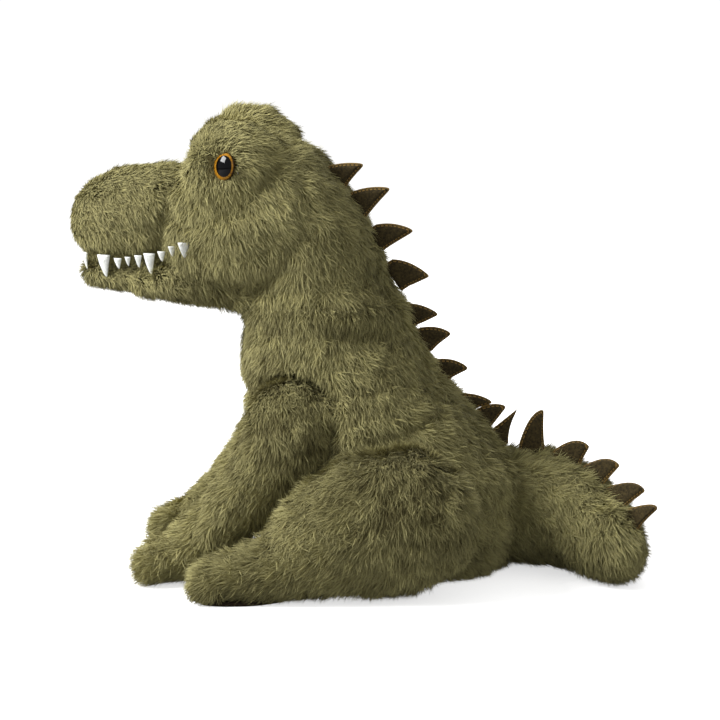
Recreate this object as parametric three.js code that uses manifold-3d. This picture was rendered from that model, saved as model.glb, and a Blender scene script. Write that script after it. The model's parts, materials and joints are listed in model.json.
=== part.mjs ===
// A stuffed dinosaur, sitting up, made of pile fabric skins over loose fibre filling.
// Millimetres, +Z up, nose towards -X, the animal's left side towards -Y, standing on Z = 0.
// Each limb, the neck, the head and the tail is a stuffed bag of its own: a skin (backing cloth and
// its pressed pile) around a filling, open where it is sewn to the next bag.

import * as THREE from "three";
import { mergeVertices } from "three/addons/utils/BufferGeometryUtils.js";
import Module from "manifold-3d";

const wasm = await Module();
wasm.setup();

// ---------------------------------------------------------------- driving dimensions

const SKIN = 5; // backing cloth with its pile pressed flat
const GAP = 0.3; // between pieces that touch
const SWING_GAP = 1; // between pieces that slide past each other
const FAR = 400; // reach of the cutting blocks, past every surface

const NECK_AXIS_X = -24; // the head turns about this upright line
const HEAD_SEAM_Z = 172; // level of the stitched seam between neck and head
const HEAD_YAW = -10; // degrees that the head is turned to its right as it sits
const BROW_RISE = 2.5; // how much higher the right brow and its eye are sewn, and lower the left
const NECK_PIVOT = { x: -12, z: 113 }; // the neck leans about this line across the body
const NECK_LEAN = { front: 9, back: 5 }; // degrees cut away under the neck, one more than it leans

const SHOULDER = { x: -44, z: 98 }; // foreleg swing axis
const SHOULDER_R = 31; // round top of the foreleg
const SHOULDER_Y = 30; // flat inner face of the foreleg
const NECK_ROOM = 7; // between the foreleg's round top and the neck that leans over it
const LEG_SWEEP = { forward: 100, back: 30, reach: 120 }; // cleared for the foreleg, degrees from down
const HIP_Y = 70; // flat inner face of the hind leg
const TAIL_PIVOT = { x: 110, z: 38 };
const TAIL_BALL_R = 37; // round root of the tail, about its pivot
const TAIL_ROOM = 2; // around the tail's root, where it wags in the rump

const SOLE = 3; // suede sole under each hind foot
const SOLE_HALF = 19;
const HEEL_X = -62;
const TOE_X = -97;
const FOOT_Y = 91;
const SPIKE_THICK = 4.4;
const EYE_R = 9;
const EYE_DOME = 6; // how far the eye stands out from its back plate
const EYE_STEM_R = 2;
const EYE_STEM = 14;
const WASHER_R = 8;
const WASHER = 1.6;
const WASHER_FROM = 2.6; // from the eye's back plate, through the backing cloth

// ---------------------------------------------------------------- finishes

const finish = (color, roughness) => new THREE.MeshStandardMaterial({ color, roughness, metalness: 0 });

const PILE = finish(0x82805a, 0.95);
const FILLING = finish(0xe9e6dc, 1.0);
const SUEDE = finish(0x3a2f1c, 0.85);
const TOOTH = finish(0xe8ebe6, 0.5);
const EYE = finish(0x6b4510, 0.08);
const WASHER_PLASTIC = finish(0xdddddd, 0.5);
const PELLETS = finish(0xcfc9b8, 0.8);

// ---------------------------------------------------------------- solids

/** Manifold solid of a closed three.js geometry. */
function solid(geometry) {
  const bare = geometry.clone();
  bare.deleteAttribute("normal");
  bare.deleteAttribute("uv");
  const merged = mergeVertices(bare, 1e-4);
  return new wasm.Manifold(
    new wasm.Mesh({
      numProp: 3,
      vertProperties: new Float32Array(merged.attributes.position.array),
      triVerts: new Uint32Array(merged.index.array),
    }),
  );
}

/** three.js geometry of a manifold solid. */
function surface(body) {
  const { vertProperties, triVerts } = body.getMesh();
  const geometry = new THREE.BufferGeometry();
  geometry.setAttribute("position", new THREE.BufferAttribute(new Float32Array(vertProperties), 3));
  geometry.setIndex(new THREE.BufferAttribute(new Uint32Array(triVerts), 1));
  geometry.computeVertexNormals();
  return geometry;
}

const join = (bodies) => bodies.reduce((sum, body) => sum.add(body));
const cut = (body, tools) => tools.reduce((rest, tool) => rest.subtract(tool), body);

/** Block between two corners. */
function block([x0, y0, z0], [x1, y1, z1]) {
  const geometry = new THREE.BoxGeometry(x1 - x0, y1 - y0, z1 - z0);
  return solid(geometry.translate((x0 + x1) / 2, (y0 + y1) / 2, (z0 + z1) / 2));
}

/** Everything under a level, which flattens a body where it rests. */
const below = (z) => block([-FAR, -FAR, -FAR], [FAR, FAR, z]);
const above = (z) => block([-FAR, -FAR, z], [FAR, FAR, FAR]);

/** Turns a geometry made along +Y so that it points along a direction from a place. */
function aim(geometry, place, direction) {
  const turn = new THREE.Quaternion().setFromUnitVectors(new THREE.Vector3(0, 1, 0), direction);
  return geometry.applyQuaternion(turn).translate(place.x, place.y, place.z);
}

/** Round rod along a direction, between two distances from a place. */
function rod(place, direction, radius, from, to, sides = 16) {
  const geometry = new THREE.CylinderGeometry(radius, radius, to - from, sides);
  return solid(aim(geometry.translate(0, (from + to) / 2, 0), place, direction));
}

/**
 * Closed body of oval sections along a spine. A station is [x, y, z, half height, half width], and
 * the squares of the sizes are interpolated, which rounds the ends. The sections stand square to
 * the spine, or to `along` where that is given. `square` above 2 makes the ovals boxier, and
 * `inset` moves the whole surface inwards.
 */
function loft(stations, { along = null, square = 2, sides = 16, rings = 11, inset = 0 } = {}) {
  const curve = (points) => new THREE.CatmullRomCurve3(points, false, "catmullrom", 0.5);
  const spine = curve(stations.map(([x, y, z]) => new THREE.Vector3(x, y, z)));
  const sizes = curve(stations.map(([, , , high, wide]) => new THREE.Vector3(high ** 2, wide ** 2, 0)));
  const oval = (c) => Math.sign(c) * Math.abs(c) ** (2 / square);

  const geometry = new THREE.SphereGeometry(1, sides, rings);
  const position = geometry.attributes.position;
  const point = new THREE.Vector3();
  for (let i = 0; i < position.count; i += 1) {
    point.fromBufferAttribute(position, i);
    const t = THREE.MathUtils.clamp((1 - point.y) / 2, 0, 1);
    const angle = Math.atan2(point.z, point.x);
    const forward = along ?? spine.getTangent(t);
    const wide = new THREE.Vector3(0, 1, 0).addScaledVector(forward, -forward.y).normalize();
    const high = new THREE.Vector3().crossVectors(wide, forward);
    const { x: high2, y: wide2 } = sizes.getPoint(t);
    const ends = t * (1 - t) > 1e-6 ? 1 : 0;
    point
      .copy(spine.getPoint(t))
      .addScaledVector(high, ends * Math.sqrt(Math.max(high2, 0)) * oval(Math.cos(angle)))
      .addScaledVector(wide, ends * Math.sqrt(Math.max(wide2, 0)) * oval(Math.sin(angle)));
    position.setXYZ(i, point.x, point.y, point.z);
  }
  geometry.deleteAttribute("normal");
  geometry.deleteAttribute("uv");
  const closed = mergeVertices(geometry, 1e-3);
  if (inset !== 0) {
    closed.computeVertexNormals();
    const normal = closed.attributes.normal;
    const placed = closed.attributes.position;
    for (let i = 0; i < placed.count; i += 1) {
      placed.setXYZ(
        i,
        placed.getX(i) - inset * normal.getX(i),
        placed.getY(i) - inset * normal.getY(i),
        placed.getZ(i) - inset * normal.getZ(i),
      );
    }
  }
  return solid(closed);
}

const UP = new THREE.Vector3(0, 0, 1);
const FORWARD = new THREE.Vector3(-1, 0, 0);
const ACROSS = new THREE.Vector3(0, 1, 0);

/** Ball stretched to three half sizes. */
function ball([x, y, z], [rx, ry, rz], inset = 0, sides = 14) {
  const geometry = new THREE.SphereGeometry(1, sides, Math.round(sides / 2));
  return solid(geometry.scale(rx - inset, ry - inset, rz - inset).translate(x, y, z));
}

// ---------------------------------------------------------------- shapes of the stuffed bags
// Each takes `inset`: 0 for the outside of the skin, more for what is inside it.

/** Torso and neck in one: upright, from the seat to past the head seam. [front, back, height, half width] */
function trunk(inset, room = SWING_GAP) {
  const levels = [
    [30, 31, -22, 0],
    [-30, 84, -8, 50],
    [-44, 100, 14, 63],
    [-52, 106, 38, 69],
    [-60, 104, 62, 70],
    [-67, 88, 86, 65],
    [-72, 62, 108, 59],
    [-73, 48, 128, 54],
    [-73, 36, 150, 49],
    [-71, 24, 174, 46],
    [-68, 16, 190, 43],
    [-30, -29, 205, 0],
  ];
  const stations = levels.map(([front, back, z, wide]) => [(front + back) / 2, 0, z, (back - front) / 2, wide]);
  const body = loft(stations, { along: UP, square: 2.3, sides: 18, rings: 12, inset });
  const hip = HIP_Y - SWING_GAP - inset;
  const shoulder = SHOULDER_Y - SWING_GAP - inset;
  const tools = [
    below(inset),
    block([-FAR, hip, -FAR], [FAR, FAR, FAR]),
    block([-FAR, -FAR, -FAR], [FAR, -hip, FAR]),
    tailRecess(inset),
    shoulderRecess(inset + room, shoulder, FAR),
    shoulderRecess(inset + room, -FAR, -shoulder),
  ];
  return cut(body, tools);
}

/** Room for a foreleg's round top and for its column as it swings, between two widths. */
function shoulderRecess(grow, y0, y1) {
  const direction = (degrees) => {
    const angle = THREE.MathUtils.degToRad(degrees);
    return new THREE.Vector2(-Math.sin(angle), -Math.cos(angle));
  };
  const middle = direction((LEG_SWEEP.forward - LEG_SWEEP.back) / 2);
  const halfAngle = THREE.MathUtils.degToRad((LEG_SWEEP.forward + LEG_SWEEP.back) / 2);
  const apex = middle.clone().multiplyScalar(-grow / Math.sin(halfAngle));
  const corner = (towards, reach) => apex.clone().addScaledVector(towards, reach);
  const wedge = new THREE.Shape([
    apex,
    corner(direction(LEG_SWEEP.forward), LEG_SWEEP.reach),
    corner(middle, 1.5 * LEG_SWEEP.reach),
    corner(direction(-LEG_SWEEP.back), LEG_SWEEP.reach),
  ]);
  const prism = new THREE.ExtrudeGeometry(wedge, { depth: y1 - y0, bevelEnabled: false });
  prism.rotateX(Math.PI / 2).translate(SHOULDER.x, y1, SHOULDER.z);
  const place = new THREE.Vector3(SHOULDER.x, 0, SHOULDER.z);
  return solid(prism).add(rod(place, ACROSS, SHOULDER_R + grow, y0, y1, 20));
}

/** Hollow in the rump that the tail's round root turns in. */
function tailRecess(inset) {
  const radius = TAIL_BALL_R + TAIL_ROOM + inset;
  return ball([TAIL_PIVOT.x, 0, TAIL_PIVOT.z], [radius, radius, radius], 0, 16);
}

/** Head on the top of the neck, about the neck's axis: neck top, skull, brows and snout. */
function head(inset) {
  const neckTop = [
    [-47, 48, 150, 45],
    [-48, 47, 172, 46],
    [-50, 41, 195, 46],
    [-48, 34, 215, 45],
    [-46, 22, 236, 43],
    [-42, 8, 257, 37],
    [-20, -19, 276, 0],
  ].map(([front, back, z, wide]) => [(front + back) / 2, 0, z, (back - front) / 2, wide]);
  const skull = [
    [16, 236, 238, 0],
    [2, 188, 262, 42],
    [-14, 176, 274, 49],
    [-32, 171, 281, 52],
    [-50, 168, 283, 52],
    [-68, 169, 279, 49],
    [-84, 175, 267, 43],
    [-96, 190, 252, 34],
    [-106, 218, 222, 0],
  ].map(upright);
  const snout = [
    [-74, 230, 232, 0],
    [-88, 208, 260, 33],
    [-104, 201, 261, 34],
    [-118, 198, 260, 35],
    [-134, 197, 258, 34],
    [-149, 199, 252, 30],
    [-160, 206, 243, 22],
    [-166, 222, 226, 0],
  ].map(upright);
  const bags = [
    loft(neckTop, { along: UP, square: 2.2, sides: 12, rings: 9, inset }),
    loft(skull, { along: FORWARD, square: 2.2, sides: 12, rings: 9, inset }),
    loft(snout, { along: FORWARD, square: 2.6, sides: 12, rings: 9, inset }),
    ...[-1, 1].map((side) => ball([-53, side * 26, 261 + side * BROW_RISE], [36, 30, 34], inset, 10)),
  ];
  return cut(join(bags), [below(HEAD_SEAM_Z + SWING_GAP), jaw(-GAP - inset)]);
}

/** A lengthwise station from its place, its lowest and highest levels and its half width. */
const upright = ([x, low, high, wide]) => [x, 0, (low + high) / 2, (high - low) / 2, wide];

/** Lower jaw, sewn in under the skull and snout. */
function jaw(inset) {
  const stations = [
    [-56, 180, 190, 0],
    [-66, 171, 201, 34],
    [-82, 172, 203, 37],
    [-98, 175, 199, 33],
    [-116, 179, 195, 29],
    [-134, 182, 194, 26],
    [-146, 184, 194, 21],
    [-156, 188, 191, 0],
  ].map(upright);
  return loft(stations, { along: FORWARD, square: 2.3, sides: 10, rings: 8, inset });
}

/** Everything nearer the middle than a limb's flat inner face. */
function inside(side, y) {
  return side < 0 ? block([-FAR, -y, -FAR], [FAR, FAR, FAR]) : block([-FAR, -FAR, -FAR], [FAR, y, FAR]);
}

/** Foreleg on one side: round shoulder, column and paw with three toes. */
function foreleg(side, inset) {
  const y = side * 47;
  const paw = side * 49;
  const stations = [
    [-36, y, 129, 0, 0],
    [-40, y, 116, 26, 18],
    [-45, y, 96, 30, 21],
    [-58, y, 75, 27, 21],
    [-76, y, 51, 23, 19],
    [-95, paw, 30, 20, 18],
    [-112, paw, 18, 18, 18],
    [-126, paw, 15, 15, 17],
    [-136, paw, 14, 0, 0],
  ];
  const toes = [-11, 0, 11].map((across) => ball([-129, paw + across, 13], [12.5, 8, 13], inset, 8));
  const leg = join([loft(stations, { inset, sides: 10, rings: 9 }), ...toes]);
  return cut(leg, [below(inset), inside(side, SHOULDER_Y + inset)]);
}

/** Hind leg on one side: haunch, shin and foot with three toes, flat above its sole. */
function hindLeg(side, inset) {
  const y = side * 89;
  const foot = side * FOOT_Y;
  const stations = [
    [70, y, 50, 0, 0],
    [58, y, 50, 30, 22],
    [32, y, 50, 45, 29],
    [4, y, 46, 45, 29],
    [-17, y, 38, 39, 28],
    [-34, y, 28, 30, 26],
    [-52, foot, 20, 21, 22],
    [-73, foot, 15.5, 16, 20],
    [-90, foot, 13.5, 13.5, 19],
    [-100, foot, 12.5, 0, 0],
  ];
  const toes = [-12, 0, 12].map((across) => ball([-92, foot + across, 12], [12, 8.5, 11.5], inset, 8));
  const leg = join([loft(stations, { inset, sides: 10, rings: 10 }), ...toes]);
  const overSole = block([-FAR, -FAR, -FAR], [HEEL_X + SOLE_HALF + inset, FAR, SOLE + GAP + inset]);
  return cut(leg, [below(inset), inside(side, HIP_Y + inset), overSole]);
}

/** Tail: round root, then tapering down and round to the animal's left. */
function tail(inset) {
  const stations = [
    [TAIL_PIVOT.x - TAIL_BALL_R, 0, TAIL_PIVOT.z, 0, 0],
    [TAIL_PIVOT.x - 20, 0, TAIL_PIVOT.z, 31, 31],
    [TAIL_PIVOT.x, 0, TAIL_PIVOT.z, TAIL_BALL_R, TAIL_BALL_R],
    [128, -7, 36.5, 35.5, 35],
    [143, -21, 31, 31, 31],
    [153, -37, 26, 26, 27],
    [159, -54, 21, 21, 22],
    [162, -76, 17, 0, 0],
  ];
  return cut(loft(stations, { inset, sides: 12, rings: 10 }), [below(inset)]);
}

// ---------------------------------------------------------------- small pieces

/**
 * Spike of padded suede: a fin over the base between two places on the ridge, with a bowed leading
 * edge up to its tip, and a root sunk in far enough to be trimmed to the skin.
 */
function spike(from, to, tip) {
  const root = 10;
  const [start, end, point] = [from, to, tip].map((place) => new THREE.Vector3(...place));
  const along = end.clone().sub(start).normalize();
  const rise = point.clone().sub(start);
  const out = rise.clone().addScaledVector(along, -rise.dot(along)).normalize();
  const base = end.distanceTo(start);
  const top = new THREE.Vector2(rise.dot(along), rise.dot(out));
  const outline = new THREE.Shape();
  outline.moveTo(0, -root);
  outline.lineTo(0, 0);
  outline.quadraticCurveTo(top.x * 0.35, top.y * 0.78, top.x, top.y);
  outline.quadraticCurveTo(base + (top.x - base) * 0.4, top.y * 0.42, base, 0);
  outline.lineTo(base, -root);
  const geometry = new THREE.ExtrudeGeometry(outline, { depth: SPIKE_THICK, bevelEnabled: false, curveSegments: 4 });
  geometry.translate(0, 0, -SPIKE_THICK / 2);
  const thick = new THREE.Vector3().crossVectors(along, out);
  geometry.applyMatrix4(new THREE.Matrix4().makeBasis(along, out, thick));
  return solid(geometry.translate(start.x, start.y, start.z));
}

/** Fang pointing down, flat in the direction that the lip faces. */
function fang({ x, y, top, width, length, turn }) {
  const geometry = new THREE.ConeGeometry(width / 2, length, 8);
  geometry.rotateX(-Math.PI / 2).scale(1, 0.5, 1);
  geometry.rotateZ(THREE.MathUtils.degToRad(turn));
  return solid(geometry.translate(x, y, top - length / 2));
}

/** Place and direction of one eye, on the head about the neck's axis. */
function eyeSeat(side) {
  const forward = THREE.MathUtils.degToRad(30);
  const up = THREE.MathUtils.degToRad(5);
  return {
    place: new THREE.Vector3(-51, side * 51, 261.5 + side * BROW_RISE),
    direction: new THREE.Vector3(
      -Math.sin(forward) * Math.cos(up),
      side * Math.cos(forward) * Math.cos(up),
      Math.sin(up),
    ),
  };
}

/** Eye: a moulded dome with a flat back and a stem. */
function eye(side) {
  const { place, direction } = eyeSeat(side);
  const rim = 1;
  const profile = [new THREE.Vector2(0, -EYE_STEM), new THREE.Vector2(EYE_STEM_R, -EYE_STEM), new THREE.Vector2(EYE_STEM_R, 0)];
  const steps = 4;
  for (let i = 0; i <= steps; i += 1) {
    const angle = (i / steps) * (Math.PI / 2);
    profile.push(new THREE.Vector2(EYE_R * Math.cos(angle), rim + (EYE_DOME - rim) * Math.sin(angle)));
  }
  profile.splice(3, 0, new THREE.Vector2(EYE_R, 0));
  return solid(aim(new THREE.LatheGeometry(profile, 16), place, direction));
}

/** Washer that locks an eye's stem behind the skin. */
function washer(side) {
  const { place, direction } = eyeSeat(side);
  const disc = rod(place, direction, WASHER_R, -WASHER_FROM - WASHER, -WASHER_FROM);
  return disc.subtract(rod(place, direction, EYE_STEM_R + GAP, -FAR / 10, 0, 16));
}

/** Suede sole with three toe lobes in front. */
function sole(side) {
  const toe = SOLE_HALF / 3;
  const outline = new THREE.Shape();
  outline.absarc(HEEL_X, 0, SOLE_HALF, -Math.PI / 2, Math.PI / 2, false);
  for (const across of [SOLE_HALF - toe, 0, toe - SOLE_HALF]) {
    outline.absarc(TOE_X, across, toe, Math.PI / 2, 1.5 * Math.PI, false);
  }
  outline.closePath();
  const geometry = new THREE.ExtrudeGeometry(outline, { depth: SOLE, bevelEnabled: false, curveSegments: 5 });
  return solid(geometry.translate(0, side * FOOT_Y, 0));
}

/** Everything under the neck, which leaves it room to lean to the front and to the back. */
function underNeck() {
  const size = 2 * FAR;
  const tilted = (degrees) => {
    const geometry = new THREE.BoxGeometry(size, size, size).translate(0, 0, -FAR);
    geometry.rotateY(THREE.MathUtils.degToRad(degrees));
    return solid(geometry.translate(NECK_PIVOT.x, 0, NECK_PIVOT.z + GAP));
  };
  return tilted(NECK_LEAN.front).add(tilted(-NECK_LEAN.back));
}

/** Well for one eye: open outwards over its plate, with room for its stem and washer behind. */
function eyeWell(side) {
  const { place, direction } = eyeSeat(side);
  return join([
    rod(place, direction, EYE_R + GAP, -GAP, FAR / 10),
    rod(place, direction, EYE_STEM_R + GAP, -EYE_STEM - GAP, 0, 16),
    rod(place, direction, WASHER_R + GAP, -EYE_STEM - GAP, GAP - WASHER_FROM),
  ]);
}

// ---------------------------------------------------------------- assembly

const SIDES = { left: -1, right: 1 };
const toy = new THREE.Group();
const headGroup = new THREE.Group();
headGroup.position.x = NECK_AXIS_X;
headGroup.rotation.z = THREE.MathUtils.degToRad(HEAD_YAW);
toy.add(headGroup);

/** Adds one named piece to a group. */
function add(group, name, body, material) {
  const piece = new THREE.Mesh(surface(body), material);
  piece.name = name;
  group.add(piece);
}

/**
 * Adds a stuffed bag: its skin, and the filling that fits it. `trim` is cut from both, `opening`
 * only from the skin, and `pocket` only from the filling.
 */
function addBag(group, name, shape, { trim = [], opening = [], pocket = [] }) {
  add(group, `${name}_skin`, cut(shape(0).subtract(shape(SKIN)), [...trim, ...opening]), PILE);
  add(group, `${name}_filling`, cut(shape(SKIN + GAP), [...trim, ...pocket]), FILLING);
}

// Torso, with a bag of pellets low in the seat that keeps it sitting, and the neck.
const pellets = (grow) => ball([33, 0, 20], [28 + grow, 36 + grow, 16 + grow]);
addBag(toy, "torso", trunk, { trim: [above(NECK_PIVOT.z)], pocket: [pellets(GAP)] });
add(toy, "seat_pellet_bag", cut(pellets(0), [below(SKIN + GAP)]), PELLETS);
addBag(toy, "neck", (inset) => trunk(inset, NECK_ROOM), { trim: [underNeck(), above(HEAD_SEAM_Z)] });

// Head, lower jaw and eyes.
const eyeWells = Object.values(SIDES).map(eyeWell);
addBag(headGroup, "head", head, { trim: eyeWells });
addBag(headGroup, "jaw", jaw, { trim: [block([-62, -FAR, -FAR], [FAR, FAR, FAR])] });
for (const [word, side] of Object.entries(SIDES)) {
  add(headGroup, `eye_${word}`, eye(side), EYE);
  add(headGroup, `eye_washer_${word}`, washer(side), WASHER_PLASTIC);
}

// Limbs and tail, each open where it is sewn on.
for (const [word, side] of Object.entries(SIDES)) {
  const outward = new THREE.Vector3(0, side, 0);
  const hole = (x, z, y, radius) => rod(new THREE.Vector3(x, side * y, z), outward, radius, -1, SKIN + 1);
  const armhole = hole(SHOULDER.x, SHOULDER.z, SHOULDER_Y, 15);
  addBag(toy, `foreleg_${word}`, (inset) => foreleg(side, inset), { opening: [armhole] });
  const leghole = hole(26, 52, HIP_Y, 22);
  addBag(toy, `hind_leg_${word}`, (inset) => hindLeg(side, inset), { opening: [leghole] });
  add(toy, `sole_${word}`, sole(side), SUEDE);
}
const tailRoot = new THREE.Vector3(TAIL_PIVOT.x - TAIL_BALL_R, 0, TAIL_PIVOT.z);
addBag(toy, "tail", tail, { opening: [rod(tailRoot, FORWARD, 14, -SKIN - 3, 3)] });

// Teeth, sewn into the mouth seam: [from the neck's axis, half width, top, width, length, turn].
const TEETH = [
  [-152, 16, 206, 7, 15, 50],
  [-139, 26, 207, 9.5, 18, 20],
  [-128, 29, 205, 5.5, 11, 8],
  [-121.5, 29.5, 205, 4, 9.5, 0],
  [-114.5, 30, 205, 5, 10, 0],
  [-107, 30.5, 207, 7.5, 16, 0],
  [-98.5, 33, 208, 5, 10, -8],
  [-92.5, 37, 211, 6, 10, -25],
  [-85, 41, 213, 8, 12, -30],
];
const headRoom = [head(-GAP), jaw(-GAP)];
for (const [word, side] of Object.entries(SIDES)) {
  TEETH.forEach(([x, y, top, width, length, turn], i) => {
    const tooth = fang({ x, y: side * y, top, width, length, turn: side * turn });
    add(headGroup, `tooth_${word}_${i + 1}`, cut(tooth, headRoom), TOOTH);
  });
}

// Spikes down the ridge, from the back of the head to the end of the tail: [base start, base end, tip].
const SPIKES = {
  head: [
    [[3, 0, 258.5], [15, 0, 246], [26, 0, 260]],
    [[17.5, 0, 242], [30.5, 0, 230], [43, 0, 245]],
    [[34.5, 0, 222], [43.6, 0, 209], [58, 0, 218.5]],
    [[45, 0, 200], [56, 0, 183.5], [68.5, 0, 190]],
  ],
  neck: [
    [[27.5, 0, 170.5], [37.2, 0, 157.5], [49.6, 0, 164]],
    [[38.5, 0, 155], [46.4, 0, 140.5], [58, 0, 151]],
    [[49, 0, 134.5], [56, 0, 121], [69.2, 0, 128.6]],
  ],
  torso: [
    [[63, 0, 111.5], [70.5, 0, 102.5], [85, 0, 106.5]],
    [[72.5, 0, 99.6], [85.5, 0, 91.5], [94, 0, 103.5]],
    [[87.5, 0, 90], [96, 0, 79.5], [101.5, 0, 101.5]],
  ],
  tail: [
    [[103.5, 0, 79.5], [119.5, -1, 77.5], [118.5, -1, 101]],
    [[126, -5, 76], [141, -14, 66.5], [147.5, -10, 79]],
    [[141.8, -15, 66], [154.5, -28, 57.5], [165.5, -24, 69.5]],
    [[156, -30, 56], [166.5, -44, 46], [180, -38, 56]],
    [[164.5, -46, 45], [171, -58, 31], [186, -51, 47]],
  ],
};
const ridge = { head: head(-GAP), neck: trunk(-GAP), torso: trunk(-GAP), tail: tail(-GAP) };
let number = 0;
for (const [bag, spikes] of Object.entries(SPIKES)) {
  for (const [from, to, tip] of spikes) {
    number += 1;
    const name = `spike_${String(number).padStart(2, "0")}`;
    add(bag === "head" ? headGroup : toy, name, cut(spike(from, to, tip), [ridge[bag]]), SUEDE);
  }
}

// The origin is the middle of the footprint, on the surface that the animal sits on.
const whole = new THREE.Group();
toy.updateMatrixWorld(true);
const box = new THREE.Box3().setFromObject(toy, true);
toy.position.set(-(box.min.x + box.max.x) / 2, -(box.min.y + box.max.y) / 2, -box.min.z);
whole.add(toy);

export default whole;
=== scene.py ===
"""Looks of the stuffed dinosaur: padded bags under long pile, suede spikes, teeth, eyes and a studio.

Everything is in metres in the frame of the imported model: +Z up, nose towards -X, the animal's left
side towards -Y. Each bag is a padded skin that takes the place of its plain solids, and its pile is
a coat of fine blades rooted in that skin.
"""

import json
import logging
import math
from dataclasses import dataclass, field
from enum import Enum
from typing import Callable, Optional, Sequence

import bmesh
import bpy
import numpy as np
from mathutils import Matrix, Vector
from mathutils.kdtree import KDTree


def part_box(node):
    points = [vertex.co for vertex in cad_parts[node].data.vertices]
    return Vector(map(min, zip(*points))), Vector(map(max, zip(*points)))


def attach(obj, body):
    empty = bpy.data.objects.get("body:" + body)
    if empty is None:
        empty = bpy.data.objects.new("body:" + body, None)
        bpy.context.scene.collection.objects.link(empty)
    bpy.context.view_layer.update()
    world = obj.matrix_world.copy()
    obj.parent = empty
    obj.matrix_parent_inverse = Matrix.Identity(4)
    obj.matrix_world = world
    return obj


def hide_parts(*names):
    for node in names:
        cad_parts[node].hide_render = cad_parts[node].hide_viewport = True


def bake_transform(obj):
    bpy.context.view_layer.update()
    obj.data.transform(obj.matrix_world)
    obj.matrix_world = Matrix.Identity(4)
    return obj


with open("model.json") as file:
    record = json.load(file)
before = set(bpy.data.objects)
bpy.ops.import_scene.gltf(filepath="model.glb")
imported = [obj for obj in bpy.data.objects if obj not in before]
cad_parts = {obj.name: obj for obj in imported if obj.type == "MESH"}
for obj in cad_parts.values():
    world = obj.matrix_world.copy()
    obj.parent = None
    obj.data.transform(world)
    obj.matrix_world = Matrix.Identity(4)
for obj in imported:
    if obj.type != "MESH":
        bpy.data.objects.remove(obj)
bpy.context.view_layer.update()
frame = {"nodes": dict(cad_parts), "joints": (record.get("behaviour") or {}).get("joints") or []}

log = logging.getLogger("dinosaur")

MM = 0.001
PIECE_TRIANGLES = 190000
FLOOR_CLEAR = 0.3 * MM
HEAD_YAW = math.radians(-10.0)
TAIL_HINGE = 110.0  # millimetres along X, in the measures that frame_place takes
UP = np.array([0.0, 0.0, 1.0])
BOTH_SIDES = (-1, 1)
Socket = bpy.types.NodeSocket


class Side(Enum):
    """The two sides of the animal, by the sign of Y."""

    LEFT = -1
    RIGHT = 1

    @property
    def word(self) -> str:
        """Name of the side as it stands in the node names."""
        return self.name.lower()


class Setting(Enum):
    """How a piece follows the bodies of the frame."""

    RIDES = "rides"
    BENDS = "bends"


# ---------------------------------------------------------------- arrays


def unit(vectors: np.ndarray) -> np.ndarray:
    """Rows scaled to length one."""
    return vectors / np.maximum(np.linalg.norm(vectors, axis=-1, keepdims=True), 1e-12)


def smoothstep(low: float, high: float, value: np.ndarray) -> np.ndarray:
    """0 below low, 1 above high, and 3t^2 - 2t^3 between, where t is the share of the way."""
    t = np.clip((value - low) / (high - low), 0.0, 1.0)
    return t * t * (3.0 - 2.0 * t)


def lattice_noise(points: np.ndarray, size: float, seed: int) -> np.ndarray:
    """Smooth vector noise: random vectors on a cubic lattice, blended between its corners.

    The blend weight along each axis is 3f^2 - 2f^3 of the fraction f of the cell.

    Args:
        points: places, one per row, in metres.
        size: edge of a lattice cell, in metres.
        seed: picks another field of the same kind.

    Returns:
        One vector per place, each part between -1 and 1.
    """
    scaled = points / size
    cell = np.floor(scaled).astype(np.int64)
    part = scaled - cell
    part = part * part * (3.0 - 2.0 * part)
    total = np.zeros((len(points), 3))
    for corner in np.ndindex(2, 2, 2):
        at = cell + np.array(corner)
        key = (at[:, 0] * 73856093) ^ (at[:, 1] * 19349663) ^ (at[:, 2] * 83492791) ^ (seed * 2654435761)
        key = key & 0xFFFFFFFF
        weight = np.prod(np.where(np.array(corner) == 1, part, 1.0 - part), axis=1)
        for axis in range(3):
            key = (key ^ (key >> 15)) * 2246822519 & 0xFFFFFFFF
            key = (key ^ (key >> 13)) * 3266489917 & 0xFFFFFFFF
            total[:, axis] += weight * (key / 0x7FFFFFFF - 1.0)
    return total


def mesh_arrays(mesh: bpy.types.Mesh) -> tuple[np.ndarray, np.ndarray]:
    """Vertices and triangles of a mesh as two arrays."""
    flat = np.empty(len(mesh.vertices) * 3)
    mesh.vertices.foreach_get("co", flat)
    mesh.calc_loop_triangles()
    corners = np.empty(len(mesh.loop_triangles) * 3, dtype=np.int64)
    mesh.loop_triangles.foreach_get("vertices", corners)
    return flat.reshape(-1, 3), corners.reshape(-1, 3)


def vertex_normals(points: np.ndarray, triangles: np.ndarray) -> np.ndarray:
    """Normals at the vertices: the sum of the area vectors of the triangles around each one."""
    a, b, c = (points[triangles[:, k]] for k in range(3))
    area = np.cross(b - a, c - a)
    total = np.zeros_like(points)
    for k in range(3):
        np.add.at(total, triangles[:, k], area)
    return unit(total)


def new_object(name: str, mesh: bpy.types.Mesh, material: Optional[bpy.types.Material]) -> bpy.types.Object:
    """Links a mesh to the scene as an object with one material."""
    piece = bpy.data.objects.new(name, mesh)
    bpy.context.scene.collection.objects.link(piece)
    if material is not None:
        mesh.materials.clear()
        mesh.materials.append(material)
    return piece


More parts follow.
